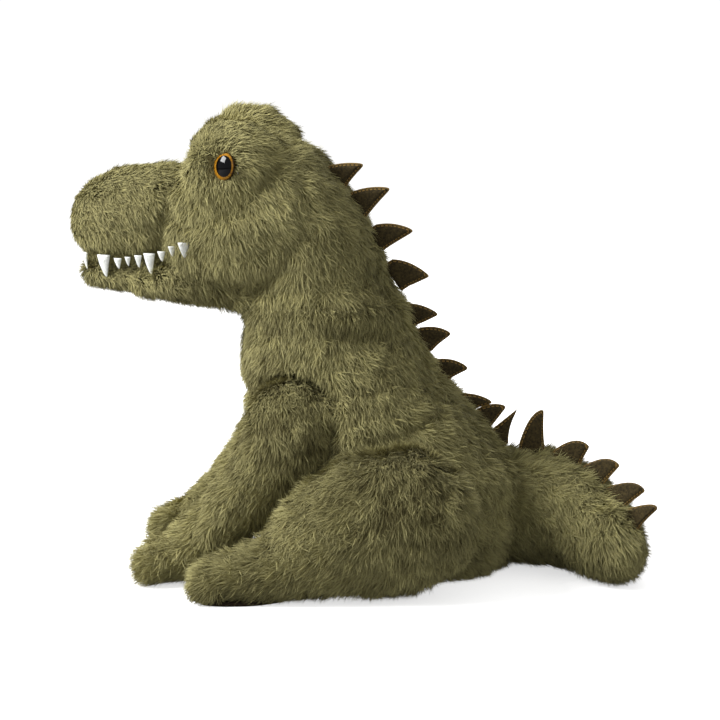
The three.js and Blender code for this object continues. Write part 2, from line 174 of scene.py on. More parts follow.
def faces_mesh(
    name: str,
    points: np.ndarray,
    faces: np.ndarray,
    uv: Optional[np.ndarray] = None,
    uv_name: str = "OFBake",
) -> bpy.types.Mesh:
    """Mesh of faces that all have the same number of corners.

    Args:
        name: name of the mesh.
        points: vertices, one per row.
        faces: corner indices, one face per row.
        uv: optional place on the flat pattern for each vertex.
        uv_name: name of the map that holds it.

    Returns:
        The mesh, shaded smooth.
    """
    mesh = bpy.data.meshes.new(name)
    count, corners = faces.shape
    mesh.vertices.add(len(points))
    mesh.vertices.foreach_set("co", points.astype(np.float32).ravel())
    mesh.loops.add(count * corners)
    mesh.loops.foreach_set("vertex_index", faces.astype(np.int32).ravel())
    mesh.polygons.add(count)
    mesh.polygons.foreach_set("loop_start", np.arange(0, count * corners, corners, dtype=np.int32))
    mesh.update(calc_edges=True)
    if uv is not None:
        layer = mesh.uv_layers.new(name=uv_name)
        layer.data.foreach_set("uv", uv[faces.ravel()].astype(np.float32).ravel())
    mesh.polygons.foreach_set("use_smooth", np.ones(count, dtype=bool))
    mesh.update()
    return mesh


def grid_faces(rows: int, columns: int, wrap: bool) -> np.ndarray:
    """Quads of a grid of rows by columns of points, closed round the columns if wrap is set."""
    row = np.arange(rows - 1)[:, None]
    column = np.arange(columns if wrap else columns - 1)[None, :]
    following = (column + 1) % columns
    a = row * columns + column
    b = row * columns + following
    return np.stack([a, b, b + columns, a + columns], axis=-1).reshape(-1, 4)


def closed_tube(name: str, rings: np.ndarray, uv: Optional[np.ndarray] = None) -> bpy.types.Mesh:
    """Closed surface through rings of points, whose first and last rings shrink to a pole.

    Args:
        name: name of the mesh.
        rings: array of ring by place round it by 3.
        uv: optional array of ring by place by 2.

    Returns:
        The mesh, with its poles merged and its faces outwards.
    """
    rows, columns, _ = rings.shape
    flat_uv = None if uv is None else uv.reshape(-1, 2)
    mesh = faces_mesh(name, rings.reshape(-1, 3), grid_faces(rows, columns, True), flat_uv, "pattern")
    merge_and_face_out(mesh)
    return mesh


def merge_and_face_out(mesh: bpy.types.Mesh, distance: float = 0.02 * MM) -> None:
    """Merges doubled vertices, drops faces with no area and turns the faces outwards."""
    shape = bmesh.new()
    shape.from_mesh(mesh)
    bmesh.ops.remove_doubles(shape, verts=shape.verts, dist=distance)
    bmesh.ops.dissolve_degenerate(shape, edges=shape.edges, dist=distance)
    bmesh.ops.recalc_face_normals(shape, faces=shape.faces)
    shape.to_mesh(mesh)
    shape.free()
    mesh.update()


def head_place(x: float, y: float, z: float) -> np.ndarray:
    """A place on the head, given before the head was turned about the neck's axis, in millimetres."""
    axis = next(j for j in frame["joints"] if j["name"] == "head_turn")["pos_m"]
    c, s = math.cos(HEAD_YAW), math.sin(HEAD_YAW)
    return np.array([axis[0] + (x * c - y * s) * MM, (x * s + y * c) * MM, z * MM])


def frame_place(x: float, y: float, z: float) -> np.ndarray:
    """A place on the rest of the animal, in millimetres, set off from the tail's hinge."""
    axis = next(j for j in frame["joints"] if j["name"] == "tail_wag")["pos_m"]
    return np.array([axis[0] + (x - TAIL_HINGE) * MM, y * MM, z * MM])


def line_of(make: Callable, side: int, *places: tuple) -> tuple:
    """A line of places on one side of the animal, with make as head_place or frame_place."""
    return tuple(tuple(make(x, side * y, z)) for x, y, z in places)


# ---------------------------------------------------------------- finishes


class Nodes:
    """A small builder of shader nodes on one material."""

    def __init__(self, name: str) -> None:
        """Starts a material with its main shader."""
        self.material = bpy.data.materials.new(name)
        self.material.use_nodes = True
        self.tree = self.material.node_tree
        self.shader = self.tree.nodes["Principled BSDF"]

    def node(self, kind: str, **values: object) -> bpy.types.Node:
        """Adds a node and sets its properties, or its inputs where the name is one."""
        made = self.tree.nodes.new(kind)
        for key, value in values.items():
            label = key.replace("_", " ")
            if hasattr(made, key):
                setattr(made, key, value)
            else:
                made.inputs[label].default_value = value
        return made

    def link(self, source: Socket, target: Socket) -> None:
        """Joins two sockets."""
        self.tree.links.new(source, target)

    def ramp(self, source: Socket, stops: Sequence[tuple[float, tuple]]) -> Socket:
        """Colours along a value: stops of place and colour, blended evenly between."""
        made = self.tree.nodes.new("ShaderNodeValToRGB")
        elements = made.color_ramp.elements
        while len(elements) < len(stops):
            elements.new(0.5)
        for element, (place, colour) in zip(elements, stops):
            element.position = place
            element.color = (*colour, 1.0)
        self.link(source, made.inputs["Fac"])
        return made.outputs["Color"]

    def maths(self, operation: str, *inputs: object) -> Socket:
        """A math node on sockets or numbers."""
        made = self.tree.nodes.new("ShaderNodeMath")
        made.operation = operation
        for socket, value in zip(made.inputs, inputs):
            if isinstance(value, Socket):
                self.link(value, socket)
            else:
                socket.default_value = value
        return made.outputs["Value"]

    def mix(self, share: object, a: object, b: object, kind: str = "MIX") -> Socket:
        """A colour mix of two sockets or colours."""
        made = self.tree.nodes.new("ShaderNodeMix")
        made.data_type = "RGBA"
        made.blend_type = kind
        for label, value in (("Factor_Float", share), ("A_Color", a), ("B_Color", b)):
            socket = next(s for s in made.inputs if s.identifier == label)
            if isinstance(value, Socket):
                self.link(value, socket)
            else:
                socket.default_value = value if label == "Factor_Float" else (*value, 1.0)
        return next(s for s in made.outputs if s.identifier == "Result_Color")

    def noise(self, scale: float, detail: float = 3.0, roughness: float = 0.55) -> Socket:
        """Noise on object coordinates, with its scale in features per metre."""
        where = self.node("ShaderNodeTexCoord")
        made = self.node("ShaderNodeTexNoise", Scale=scale, Detail=detail, Roughness=roughness)
        self.link(where.outputs["Object"], made.inputs["Vector"])
        return made.outputs["Fac"]

    def pattern(self, name: str) -> tuple[Socket, Socket]:
        """The two coordinates of the piece's own map."""
        where = self.node("ShaderNodeUVMap", uv_map=name)
        parts = self.node("ShaderNodeSeparateXYZ")
        self.link(where.outputs["UV"], parts.inputs["Vector"])
        return parts.outputs["X"], parts.outputs["Y"]

    def bump(self, height: Socket, depth: float, strength: float = 1.0) -> None:
        """Bump from a height between 0 and 1, with its depth in metres."""
        made = self.node("ShaderNodeBump", Distance=depth, Strength=strength)
        self.link(height, made.inputs["Height"])
        self.link(made.outputs["Normal"], self.shader.inputs["Normal"])

    def plain(self, **values: object) -> None:
        """Sets inputs of the main shader, with spaces in their names written as underscores."""
        for key, value in values.items():
            self.shader.inputs[key.replace("_", " ")].default_value = value


def srgb(red: int, green: int, blue: int) -> tuple[float, float, float]:
    """Linear colour of a display colour given in parts of 255."""
    def one(part: int) -> float:
        """Linear value of one part."""
        share = part / 255.0
        return share / 12.92 if share <= 0.04045 else ((share + 0.055) / 1.055) ** 2.4

    return one(red), one(green), one(blue)


@dataclass(frozen=True)
class PileFinish:
    """Pile of the blades: dark at the root and pale at the tip, partly the pile's colour and partly painted
    shade deep in the pile, with its tone along u.
    """

    root: tuple = srgb(52, 44, 20)
    middle: tuple = srgb(126, 119, 74)
    tip: tuple = srgb(163, 157, 110)
    darker: tuple = (0.26, 0.24, 0.19)
    usual: tuple = (0.92, 0.92, 0.92)
    paler: tuple = (1.36, 1.36, 1.34)

    def material(self) -> bpy.types.Material:
        """Colour is a ramp along v from root to tip, multiplied by a ramp of tone along u, which carries
        random tone, painted light and painted shade.
        """
        n = Nodes("pile")
        tone, along = n.pattern("OFBake")
        # Painted shade: the dark root end of this ramp stands for shade deep in the pile as well as the
        # pile's own colour.
        length = n.ramp(along, [(0.0, self.root), (0.42, self.middle), (1.0, self.tip)])
        # The tone ramp: its dark end gives painted shade and its pale end painted light, as well as random
        # tone.
        shade = n.ramp(tone, [(0.0, self.darker), (0.5, self.usual), (1.0, self.paler)])
        n.link(n.mix(1.0, length, shade, "MULTIPLY"), n.shader.inputs["Base Color"])
        n.plain(Roughness=0.7, Sheen_Weight=0.2, Sheen_Roughness=0.5)
        n.plain(Sheen_Tint=(*srgb(206, 200, 160), 1.0), Specular_IOR_Level=0.12)
        return n.material


@dataclass(frozen=True)
class BackingFinish:
    """Knitted backing under the pile, dark with the shade at its roots."""

    dark: tuple = srgb(48, 41, 19)
    light: tuple = srgb(82, 73, 38)

    def material(self) -> bpy.types.Material:
        """Blotches of two tones with a fine nap as bump."""
        n = Nodes("backing")
        blotch = n.ramp(n.noise(160.0), [(0.35, self.dark), (0.7, self.light)])
        n.link(blotch, n.shader.inputs["Base Color"])
        n.bump(n.noise(900.0, 2.0), 0.6 * MM)
        n.plain(Roughness=0.95, Specular_IOR_Level=0.1)
        return n.material


@dataclass(frozen=True)
class SuedeFinish:
    """Dark suede with a worn nap, a pale cut edge and a line of stitches inside it."""

    name: str = "suede"
    dark: tuple = srgb(36, 30, 16)
    light: tuple = srgb(72, 61, 34)
    edge: tuple = srgb(128, 103, 54)
    thread: tuple = srgb(132, 104, 54)
    sheen: float = 0.3
    stitched: bool = True

    def material(self) -> bpy.types.Material:
        """Nap from noise; u is the distance in from the edge and v the place along it, in centimetres."""
        n = Nodes(self.name)
        nap = n.ramp(n.noise(650.0, 4.0, 0.7), [(0.36, self.dark), (0.66, self.light)])
        colour = nap
        height = n.noise(1500.0, 3.0, 0.7)
        if self.stitched:
            inward, along = n.pattern("pattern")
            rim = n.maths("LESS_THAN", inward, 0.075)
            colour = n.mix(n.maths("MULTIPLY", rim, 0.85), colour, self.edge)
            line = n.maths("COMPARE", inward, 0.155, 0.035)
            dash = n.maths("LESS_THAN", n.maths("FRACT", n.maths("MULTIPLY", along, 5.0)), 0.62)
            stitch = n.maths("MULTIPLY", line, dash)
            colour = n.mix(stitch, colour, self.thread)
            height = n.maths("ADD", n.maths("MULTIPLY", height, 0.4), n.maths("MULTIPLY", stitch, 0.6))
        n.link(colour, n.shader.inputs["Base Color"])
        n.bump(height, 0.35 * MM)
        n.plain(Roughness=0.9, Sheen_Weight=self.sheen, Sheen_Roughness=0.5)
        n.plain(Sheen_Tint=(*srgb(150, 130, 90), 1.0), Specular_IOR_Level=0.2)
        return n.material


@dataclass(frozen=True)
class ToothFinish:
    """Off-white satin with soft, slightly greyer blotches."""

    light: tuple = srgb(240, 242, 238)
    shade: tuple = srgb(206, 208, 200)

    def material(self) -> bpy.types.Material:
        """Soft blotches with a fine weave as bump."""
        n = Nodes("tooth_satin")
        blotch = n.ramp(n.noise(420.0, 2.0), [(0.3, self.shade), (0.6, self.light)])
        n.link(blotch, n.shader.inputs["Base Color"])
        n.bump(n.noise(2600.0, 2.0), 0.12 * MM)
        n.plain(Roughness=0.38, Specular_IOR_Level=0.45, Sheen_Weight=0.1)
        return n.material


@dataclass(frozen=True)
class EyeFinish:
    """Polished eye: black pupil set off towards the tail, amber ring with fine rays, dark rim."""

    pupil: tuple = (0.0012, 0.0012, 0.0015)
    inner: tuple = srgb(112, 70, 12)
    outer: tuple = srgb(196, 140, 40)
    rim: tuple = srgb(34, 22, 8)

    def material(self) -> bpy.types.Material:
        """v is 0 in the pupil's middle, 0.73 on its edge and 1 on the rim, and u is the angle round it."""
        n = Nodes("eye_polish")
        around, out = n.pattern("pattern")
        rays = n.node("ShaderNodeTexNoise", noise_dimensions="1D", Scale=60.0, Detail=3.0)
        n.link(around, rays.inputs["W"])
        amber = n.ramp(rays.outputs["Fac"], [(0.3, self.inner), (0.7, self.outer)])
        black, white = (0.0, 0.0, 0.0), (1.0, 1.0, 1.0)
        ring = n.ramp(out, [(0.0, black), (0.70, black), (0.76, white), (1.0, white)])
        border = n.ramp(out, [(0.0, black), (0.93, black), (1.0, white)])
        colour = n.mix(border, n.mix(ring, self.pupil, amber), self.rim)
        n.link(colour, n.shader.inputs["Base Color"])
        n.plain(Roughness=0.06, Specular_IOR_Level=0.22)
        return n.material


@dataclass(frozen=True)
class MouldedFinish:
    """Plain moulded plastic of the washers inside."""

    def material(self) -> bpy.types.Material:
        """Milky plastic with a faint mottle and a satin surface."""
        n = Nodes("washer_plastic")
        tone = n.ramp(n.noise(300.0), [(0.3, srgb(208, 208, 204)), (0.7, srgb(228, 228, 224))])
        n.link(tone, n.shader.inputs["Base Color"])
        n.plain(Roughness=0.45)
        return n.material


# ---------------------------------------------------------------- padded bags


@dataclass(frozen=True)
class Crease:
    """A seam or fold that draws the cloth in along a line of places; a hard one that draws in also shortens
    the pile a little and darkens it as painted shade, and a soft one leaves the pile full and unshaded.
    """

    line: tuple
    depth: float = 3.5 * MM
    reach: float = 6.0 * MM
    soft: bool = False

    def nearness(self, places: np.ndarray) -> np.ndarray:
        """1 on the line, falling off as exp(-(distance / reach)^2)."""
        nodes = np.array(self.line)
        nearest = np.full(len(places), np.inf)
        for a, b in zip(nodes[:-1], nodes[1:]):
            along = b - a
            share = np.clip((places - a) @ along / (along @ along), 0.0, 1.0)[:, None]
            gap = places - a - share * along
            nearest = np.minimum(nearest, (gap * gap).sum(axis=1))
        return np.exp(-nearest / self.reach**2)


def shell_labels(count: int, triangles: np.ndarray) -> np.ndarray:
    """One label per vertex, the same for all the vertices of one connected shell."""
    labels = np.arange(count)
    while True:
        lowest = labels[triangles].min(axis=1)
        spread = labels.copy()
        for k in range(3):
            np.minimum.at(spread, triangles[:, k], lowest)
        spread = spread[spread]
        if np.array_equal(spread, labels):
            return labels
        labels = spread


def widest_shell(points: np.ndarray, triangles: np.ndarray) -> tuple[np.ndarray, np.ndarray]:
    """The connected shell with the longest bounding box, with its own numbering."""
    labels = shell_labels(len(points), triangles)
    kinds = np.unique(labels)
    spans = [np.linalg.norm(np.ptp(points[labels == kind], axis=0)) for kind in kinds]
    keep = labels == kinds[int(np.argmax(spans))]
    number = np.cumsum(keep) - 1
    return points[keep], number[triangles[keep[triangles[:, 0]]]]


def outer_shell(node: str) -> tuple[np.ndarray, np.ndarray]:
    """Outside surface of a hollow CAD solid, as vertices and triangles."""
    points, triangles = mesh_arrays(frame["nodes"][node].data)
    _, first, same = np.unique(np.round(points / (0.01 * MM)), axis=0, return_index=True, return_inverse=True)
    return widest_shell(points[first], same.ravel()[triangles])


@dataclass
class Attachment:
    """How a piece follows the frame: it rides on one body, or, where a second body is named, keeps its place
    in the world.
    """

    body: str
    second: Optional[str] = None
    start: tuple = (0.0, 0.0, 0.0)
    end: tuple = (0.0, 0.0, 1.0)

    @property
    def setting(self) -> Setting:
        """Rides unless a second body is named."""
        return Setting.RIDES if self.second is None else Setting.BENDS

    def apply(self, piece: bpy.types.Object) -> None:
        """Parents a finished piece to its body, or bakes its place into its mesh where a second body is
        named.
        """
        if self.setting is Setting.BENDS:
            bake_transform(piece)
        else:
            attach(piece, self.body)


@dataclass
class Bag:
    """A stuffed bag: a padded skin shaped on the solid's outside and swollen as cloth."""

    name: str
    shells: list[str]
    replaced: list[str]
    attachment: Attachment
    fill: float = 0.75
    voxel: float = 4.0 * MM
    smoothing: int = 3
    inset: float = 2.8 * MM
    swell: float = 1.5 * MM
    creases: list[Crease] = field(default_factory=list)
    shape: Optional[Callable[[np.ndarray], np.ndarray]] = None
    ease: Optional[Callable[[np.ndarray], np.ndarray]] = None
    piece: Optional[bpy.types.Object] = field(default=None, init=False)
    rest: Optional[np.ndarray] = field(default=None, init=False)
    limit: Optional[np.ndarray] = field(default=None, init=False)

    def cut_out(self, material: bpy.types.Material) -> bpy.types.Object:
        """Remeshes the joined outsides into one even skin, relaxes it and draws in its creases.

        Args:
            material: finish of the backing cloth.

        Returns:
            The skin, not yet swollen.
        """
        outsides = [outer_shell(node) for node in self.shells]
        starts = np.cumsum([0] + [len(points) for points, _ in outsides[:-1]])
        faces = np.concatenate([triangles + first for (_, triangles), first in zip(outsides, starts)])
        rough = faces_mesh(self.name + "_pattern", np.concatenate([points for points, _ in outsides]), faces)
        shaped = new_object(self.name + "_pattern", rough, None)
        modifier = shaped.modifiers.new("even", "REMESH")
        modifier.mode = "VOXEL"
        modifier.voxel_size = self.voxel
        graph = bpy.context.evaluated_depsgraph_get()
        even = bpy.data.meshes.new_from_object(shaped.evaluated_get(graph))
        bpy.data.objects.remove(shaped)
        points, triangles = widest_shell(*mesh_arrays(even))
        bpy.data.meshes.remove(even)
        points = self.relax(points, triangles)
        normals = vertex_normals(points, triangles)
        drawn = self.inset * (np.ones(len(points)) if self.ease is None else self.ease(points))
        for crease in self.creases:
            drawn += crease.depth * crease.nearness(points)
        points = points - normals * drawn[:, None]
        if self.shape is not None:
            points = self.shape(points)
        points[:, 2] = np.maximum(points[:, 2], 1.5 * MM)
        mesh = faces_mesh(self.name, points, triangles)
        self.piece = new_object(self.name, mesh, material)
        return self.piece

    def filled_out(self, surround: "Surround") -> np.ndarray:
        """Places of the skin once it is let out to meet the bags that it faces.

        A vertex that faces another skin moves out along its normal by half of the gap between them
        less 0.4 mm, and by no more than the inset. The moves are evened between neighbours, and
        the swell is held small where the skin has moved.
        """
        points, triangles = mesh_arrays(self.piece.data)
        normals = vertex_normals(points, triangles)
        apart = points - surround.place
        across = np.abs((apart * surround.normal).sum(axis=1))
        faces = ((normals * surround.normal).sum(axis=1) < -0.35) & (surround.gap < 13.0 * MM)
        move = np.where(faces, np.clip(across / 2.0 - 0.4 * MM, 0.0, self.inset), 0.0)
        edges = np.concatenate([triangles[:, [0, 1]], triangles[:, [1, 2]], triangles[:, [2, 0]]])
        count = np.bincount(edges[:, 0], minlength=len(points))
        for _ in range(2):
            mean = np.bincount(edges[:, 0], weights=move[edges[:, 1]], minlength=len(points)) / count
            move = 0.5 * (move + mean)
        self.limit = np.where(move > 0.3 * MM, 0.2 * MM, self.swell)[:, None]
        moved = points + normals * move[:, None]
        moved[:, 2] = np.maximum(moved[:, 2], 1.5 * MM)
        return moved

    def set_places(self, points: np.ndarray) -> None:
        """Moves the skin's vertices."""
        self.rest = points
        self.piece.data.vertices.foreach_set("co", points.astype(np.float32).ravel())
        self.piece.data.update()

    def relax(self, points: np.ndarray, triangles: np.ndarray) -> np.ndarray:
        """Moves each vertex towards the mean of its neighbours and almost back, a few times over."""
        edges = np.concatenate([triangles[:, [0, 1]], triangles[:, [1, 2]], triangles[:, [2, 0]]])
        a, b = edges.T
        count = np.bincount(a, minlength=len(points))[:, None]
        for step in range(2 * self.smoothing):
            total = np.zeros_like(points)
            np.add.at(total, a, points[b])
            share = 0.6 if step % 2 == 0 else -0.56
            points = points + share * (total / np.maximum(count, 1) - points)
        return points

    def start_swelling(self) -> None:
        """Adds the cloth that pressure swells."""
        cloth = self.piece.modifiers.new("swell", "CLOTH")
        cloth.settings.use_pressure = True
        cloth.settings.uniform_pressure_force = 4.0
        cloth.settings.quality = 3
        cloth.settings.effector_weights.gravity = 0.0
        cloth.collision_settings.use_collision = False
        cloth.point_cache.frame_end = 20

    def finish_swelling(self) -> None:
        """Takes the swollen shape, held within the swell of the pattern, as the skin's mesh."""
        graph = bpy.context.evaluated_depsgraph_get()
        swollen = self.piece.evaluated_get(graph).to_mesh()
        points, _ = mesh_arrays(swollen)
        self.piece.evaluated_get(graph).to_mesh_clear()
        self.piece.modifiers.clear()
        move = points - self.rest
        far = np.linalg.norm(move, axis=1, keepdims=True)
        move *= np.minimum(1.0, self.limit / np.maximum(far, 1e-9))
        placed = self.rest + move
        placed[:, 2] = np.maximum(placed[:, 2], 1.0 * MM)
        self.set_places(placed)

    def declare(self) -> None:
        """Sets how the skin moves and hides the solids that it takes the place of."""
        self.attachment.apply(self.piece)
        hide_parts(*self.replaced)


# ---------------------------------------------------------------- pile


@dataclass(frozen=True)
class Stroke:
    """One stroke of the brush: the way that the pile lies near a place."""

    at: tuple
    towards: tuple


# Each row is a place in millimetres and the way that the pile lies there, as x, y, z and x, y, z.
BODY_STROKES = (
    (-72, 0, 160, 0.1, 0, -1), (-70, 0, 110, 0.1, 0, -1), (-20, 50, 160, 0.1, 0.1, -1),
    (30, 15, 160, 0.45, 0.7, -0.9), (-44, 44, 130, -0.1, 0.4, -1), (0, 60, 110, 0.3, 0.1, -1),
    (45, 22, 128, 0.5, 0.6, -0.9), (10, 64, 92, 0.2, 0.2, -1), (50, 64, 85, 0.45, 0.2, -1),
    (85, 25, 85, 0.6, 0.6, -0.8), (95, 45, 40, 0.5, 0.3, -0.9), (10, 0, 0, 1, 0, 0),
)
HEAD_STROKES = (
    (-160, 10, 230, 0.45, 0.6, -0.8), (-130, 34, 230, 0.8, 0.1, -0.55), (-125, 8, 262, 0.9, 0.5, 0.0),
    (-100, 36, 225, 0.6, 0.1, -0.8), (-140, 28, 209, 0.2, 0.1, -1), (-118, 31, 208, 0.3, 0.1, -1),
    (-95, 38, 211, 0.3, 0.1, -1), (-70, 20, 285, 0.5, 0.3, 0.6), (-55, 50, 235, 0.1, 0.1, -1),
    (-70, 46, 205, 0.0, 0, -1), (-20, 48, 240, 0.5, 0.1, -0.8), (-20, 25, 280, 0.9, 0.15, -0.1),
    (-20, 2, 275, 1, 0, -0.3), (5, 2, 258, 0.8, 0, -0.6), (10, 20, 250, 0.7, 0.5, -0.7),
    (0, 45, 200, 0.3, 0.2, -1), (-20, 46, 180, 0.1, 0.2, -1), (35, 15, 200, 0.5, 0.7, -0.9),
    (-80, 20, 175, 0.8, 0.2, -0.5),
)
JAW_STROKES = (
    (-150, 12, 190, 0.5, 0.3, -0.8), (-120, 28, 188, 0.8, 0.1, -0.6), (-80, 30, 182, 0.8, 0.1, -0.6),
)
TAIL_STROKES = (
    (110, 0, 75, 0.9, 0, 0.1), (110, -34, 40, 0.8, -0.1, -0.6), (110, 34, 40, 0.8, 0.0, -0.6),
    (145, -20, 60, 0.7, -0.5, -0.3), (130, -40, 30, 0.6, -0.6, -0.6), (165, -50, 25, 0.4, -0.8, -0.6),
    (170, -20, 40, 0.6, -0.4, -0.7),
)
FORELEG_STROKES = (
    (-44, 52, 126, -0.1, 0.8, -0.8), (-44, 66, 100, -0.15, 0, -1), (-70, 50, 95, -0.4, 0.2, -1),
    (-80, 60, 60, -0.6, 0, -0.9), (-45, 60, 60, -0.1, 0, -1), (-95, 50, 60, -0.8, 0.1, -0.7),
    (-70, 60, 25, -0.6, 0, -0.7), (-125, 49, 20, -1, 0, -0.2),
)
HIND_LEG_STROKES = (
    (30, 88, 96, 0.0, 1, -0.35), (30, 110, 82, 0.0, 0.3, -1), (62, 105, 62, 0.5, 0.1, -0.8),
    (20, 116, 40, -0.25, 0, -1), (-10, 100, 70, -0.6, 0.4, -0.5), (-25, 110, 45, -0.8, 0, -0.55),
    (-55, 95, 40, -0.95, 0, -0.3), (-95, 91, 18, -0.9, 0, -0.4), (30, 100, 8, -0.3, 0.2, -0.8),
)


def strokes(make: Callable, rows: tuple, sides: tuple = BOTH_SIDES) -> list[Stroke]:
    """The strokes of a table; a place on the middle line gives one stroke.

    Args:
        make: head_place or frame_place.
        rows: the table, written for the side where Y is above 0.
        sides: signs of Y of the sides that are brushed.

    Returns:
        One stroke for each row and side.
    """
    return [
        Stroke(tuple(make(x, side * y, z)), (dx, side * dy, dz))
        for x, y, z, dx, dy, dz in rows
        for side in (sides if y else (1,))
    ]


@dataclass(frozen=True)
class Tint:
    """A patch of painted light (above 0) or painted shade (below 0) on the coat's tone, falling off from its
    middle.
    """

    at: tuple
    reach: float
    amount: float

    def shade(self, places: np.ndarray) -> np.ndarray:
        """The amount times exp(-(distance / reach)^2)."""
        return self.amount * np.exp(-((places - np.array(self.at)) ** 2).sum(axis=1) / self.reach**2)


@dataclass
class Surround:
    """The skins round one bag: for each vertex of its skin, the nearest place on another."""

    place: np.ndarray
    normal: np.ndarray
    gap: np.ndarray

    @classmethod
    def of(cls, own: bpy.types.Object, others: Sequence[bpy.types.Object]) -> "Surround":
        """Finds the nearest vertex of the other skins to each vertex of a skin."""
        shapes = [mesh_arrays(other.data) for other in others]
        points = np.concatenate([shape[0] for shape in shapes])
        normals = np.concatenate([vertex_normals(*shape) for shape in shapes])
        tree = KDTree(len(points))
        for index, point in enumerate(points):
            tree.insert(point, index)
        tree.balance()
        found = [tree.find(point)[1:] for point in mesh_arrays(own.data)[0]]
        index = np.array([entry[0] for entry in found])
        return cls(points[index], normals[index], np.array([entry[1] for entry in found]))


@dataclass
class Coat:
    """A coat of pile on one bag: fine tapering blades rooted in its skin.

    A blade starts at a depth of tuck inside the skin and turns at bend of its length. Blades shorter
    than shortest, and those that face another skin nearer than pressed, are left out. Skins within
    beside can cut a blade, which keeps at least spared of its length.
    """

    bag: Bag
    strokes: list[Stroke]
    length: float = 10.0 * MM
    density: float = 3.2e6
    width: float = 0.58 * MM
    lift: float = math.radians(40.0)
    blotch: float = 0.34
    tufting: float = 1.0
    seed: int = 1
    tints: list = field(default_factory=list)
    bend: float = 0.46
    tuck: float = 0.8 * MM
    shortest: float = 1.2 * MM
    pressed: float = 1.0 * MM
    beside: float = 16.0 * MM
    spared: float = 0.38
    trim: Optional[Callable[[np.ndarray], np.ndarray]] = None
    steer: Optional[Callable[[np.ndarray, np.ndarray], np.ndarray]] = None

    def lie(self, places: np.ndarray) -> np.ndarray:
        """Way that the pile lies: the strokes weighted by one over the distance to the fourth power."""
        softening = 8.0 * MM
        at = np.array([s.at for s in self.strokes])
        towards = unit(np.array([s.towards for s in self.strokes], dtype=float))
        squared = ((places[:, None, :] - at[None, :, :]) ** 2).sum(axis=2) + softening**2
        weight = 1.0 / squared**2
        return (weight[:, :, None] * towards[None, :, :]).sum(axis=1) / weight.sum(axis=1)[:, None]

    def roots(self, rng: np.random.Generator) -> tuple[np.ndarray, np.ndarray, np.ndarray]:
        """Random places spread evenly over the skin, the skin's normals there and a vertex by each."""
        points, triangles = mesh_arrays(self.bag.piece.data)
        normals = vertex_normals(points, triangles)
        a, b, c = (points[triangles[:, k]] for k in range(3))
        area = np.linalg.norm(np.cross(b - a, c - a), axis=1) / 2.0
        count = int(area.sum() * self.density)
        chosen = rng.choice(len(triangles), size=count, p=area / area.sum())
        u, v = rng.random(count), rng.random(count)
        fold = u + v > 1.0
        u, v = np.where(fold, 1.0 - u, u), np.where(fold, 1.0 - v, v)
        share = np.stack([1.0 - u - v, u, v], axis=1)[:, :, None]
        corner = triangles[chosen]
        return (points[corner] * share).sum(axis=1), unit((normals[corner] * share).sum(axis=1)), corner[:, 0]

    def grow(self, surround: Surround, material: bpy.types.Material) -> list:
        """Builds the blades.

        Each blade has a root, two middle corners and a tip. It leaves the skin at the lift angle
        and leans over towards the lie of the pile. Its tip is drawn to one side by a smooth random
        field, which gathers the tips into tufts. A blade that would run into the skin of another
        bag is cut shorter.

        Args:
            surround: the skins round the bag.
            material: finish of the pile.

        Returns:
            The pieces of the coat.
        """
        rng = np.random.default_rng(self.seed)
        root, normal, vertex = self.roots(rng)
        gap = surround.gap[vertex]
        above = ((root - surround.place[vertex]) * surround.normal[vertex]).sum(axis=1)
        facing = (normal * surround.normal[vertex]).sum(axis=1) < -0.25
        near = (gap < self.beside) & facing
        length = self.length * (0.74 + 0.46 * rng.random(len(root)))
        length *= 1.0 + 0.20 * lattice_noise(root, 14.0 * MM, self.seed)[:, 0]
        if self.trim is not None:
            length *= self.trim(root)
        # Nearness to hard creases: it shortens the pile, and below it darkens the tone as painted shade in
        # the fold.
        folded = np.zeros(len(root))
        for crease in self.bag.creases:
            if crease.depth > 0.0 and not crease.soft:
                folded = np.maximum(folded, crease.nearness(root))
        length *= 1.0 - 0.06 * folded
        under = (normal[:, 2] < -0.75) & (root[:, 2] < 5.0 * MM)
        keep = (length > self.shortest) & ~under & ~(facing & (gap < self.pressed))
        root, normal, length, folded = root[keep], normal[keep], length[keep], folded[keep]
        vertex, near, above, gap = vertex[keep], near[keep], above[keep], gap[keep]

        lie = self.lie(root)
        if self.steer is not None:
            lie = self.steer(root, lie)
        swirl = lattice_noise(root, 24.0 * MM, self.seed + 11) * 0.40
        tuft = self.tufting * lattice_noise(root, 5.0 * MM, self.seed + 23)
        lie = lie + swirl + 0.34 * tuft + 0.32 * rng.normal(size=root.shape)
        lie = unit(lie - normal * (lie * normal).sum(axis=1, keepdims=True))
        lift = self.lift + 0.18 * rng.normal(size=len(root)) + 0.28 * tuft[:, 1]
        lift = np.clip(lift, 0.22, 1.3)[:, None]
        first = np.cos(lift) * lie + np.sin(lift) * normal
        bent = np.clip(lift - 0.40, 0.1, 1.2)
        second = unit(np.cos(bent) * lie + np.sin(bent) * normal + 0.42 * tuft - 0.10 * UP)

        reach = ((first + second) * 0.52 * length[:, None] * surround.normal[vertex]).sum(axis=1)
        meets = near & (above > 0.0) & (reach < 0.0) & (above + reach < 0.0)
        room = np.clip(above / np.maximum(-reach, 1e-9), self.spared, 1.0)
        cut = np.maximum(length * room, np.minimum(length, gap))
        length = np.where(meets, cut, length)

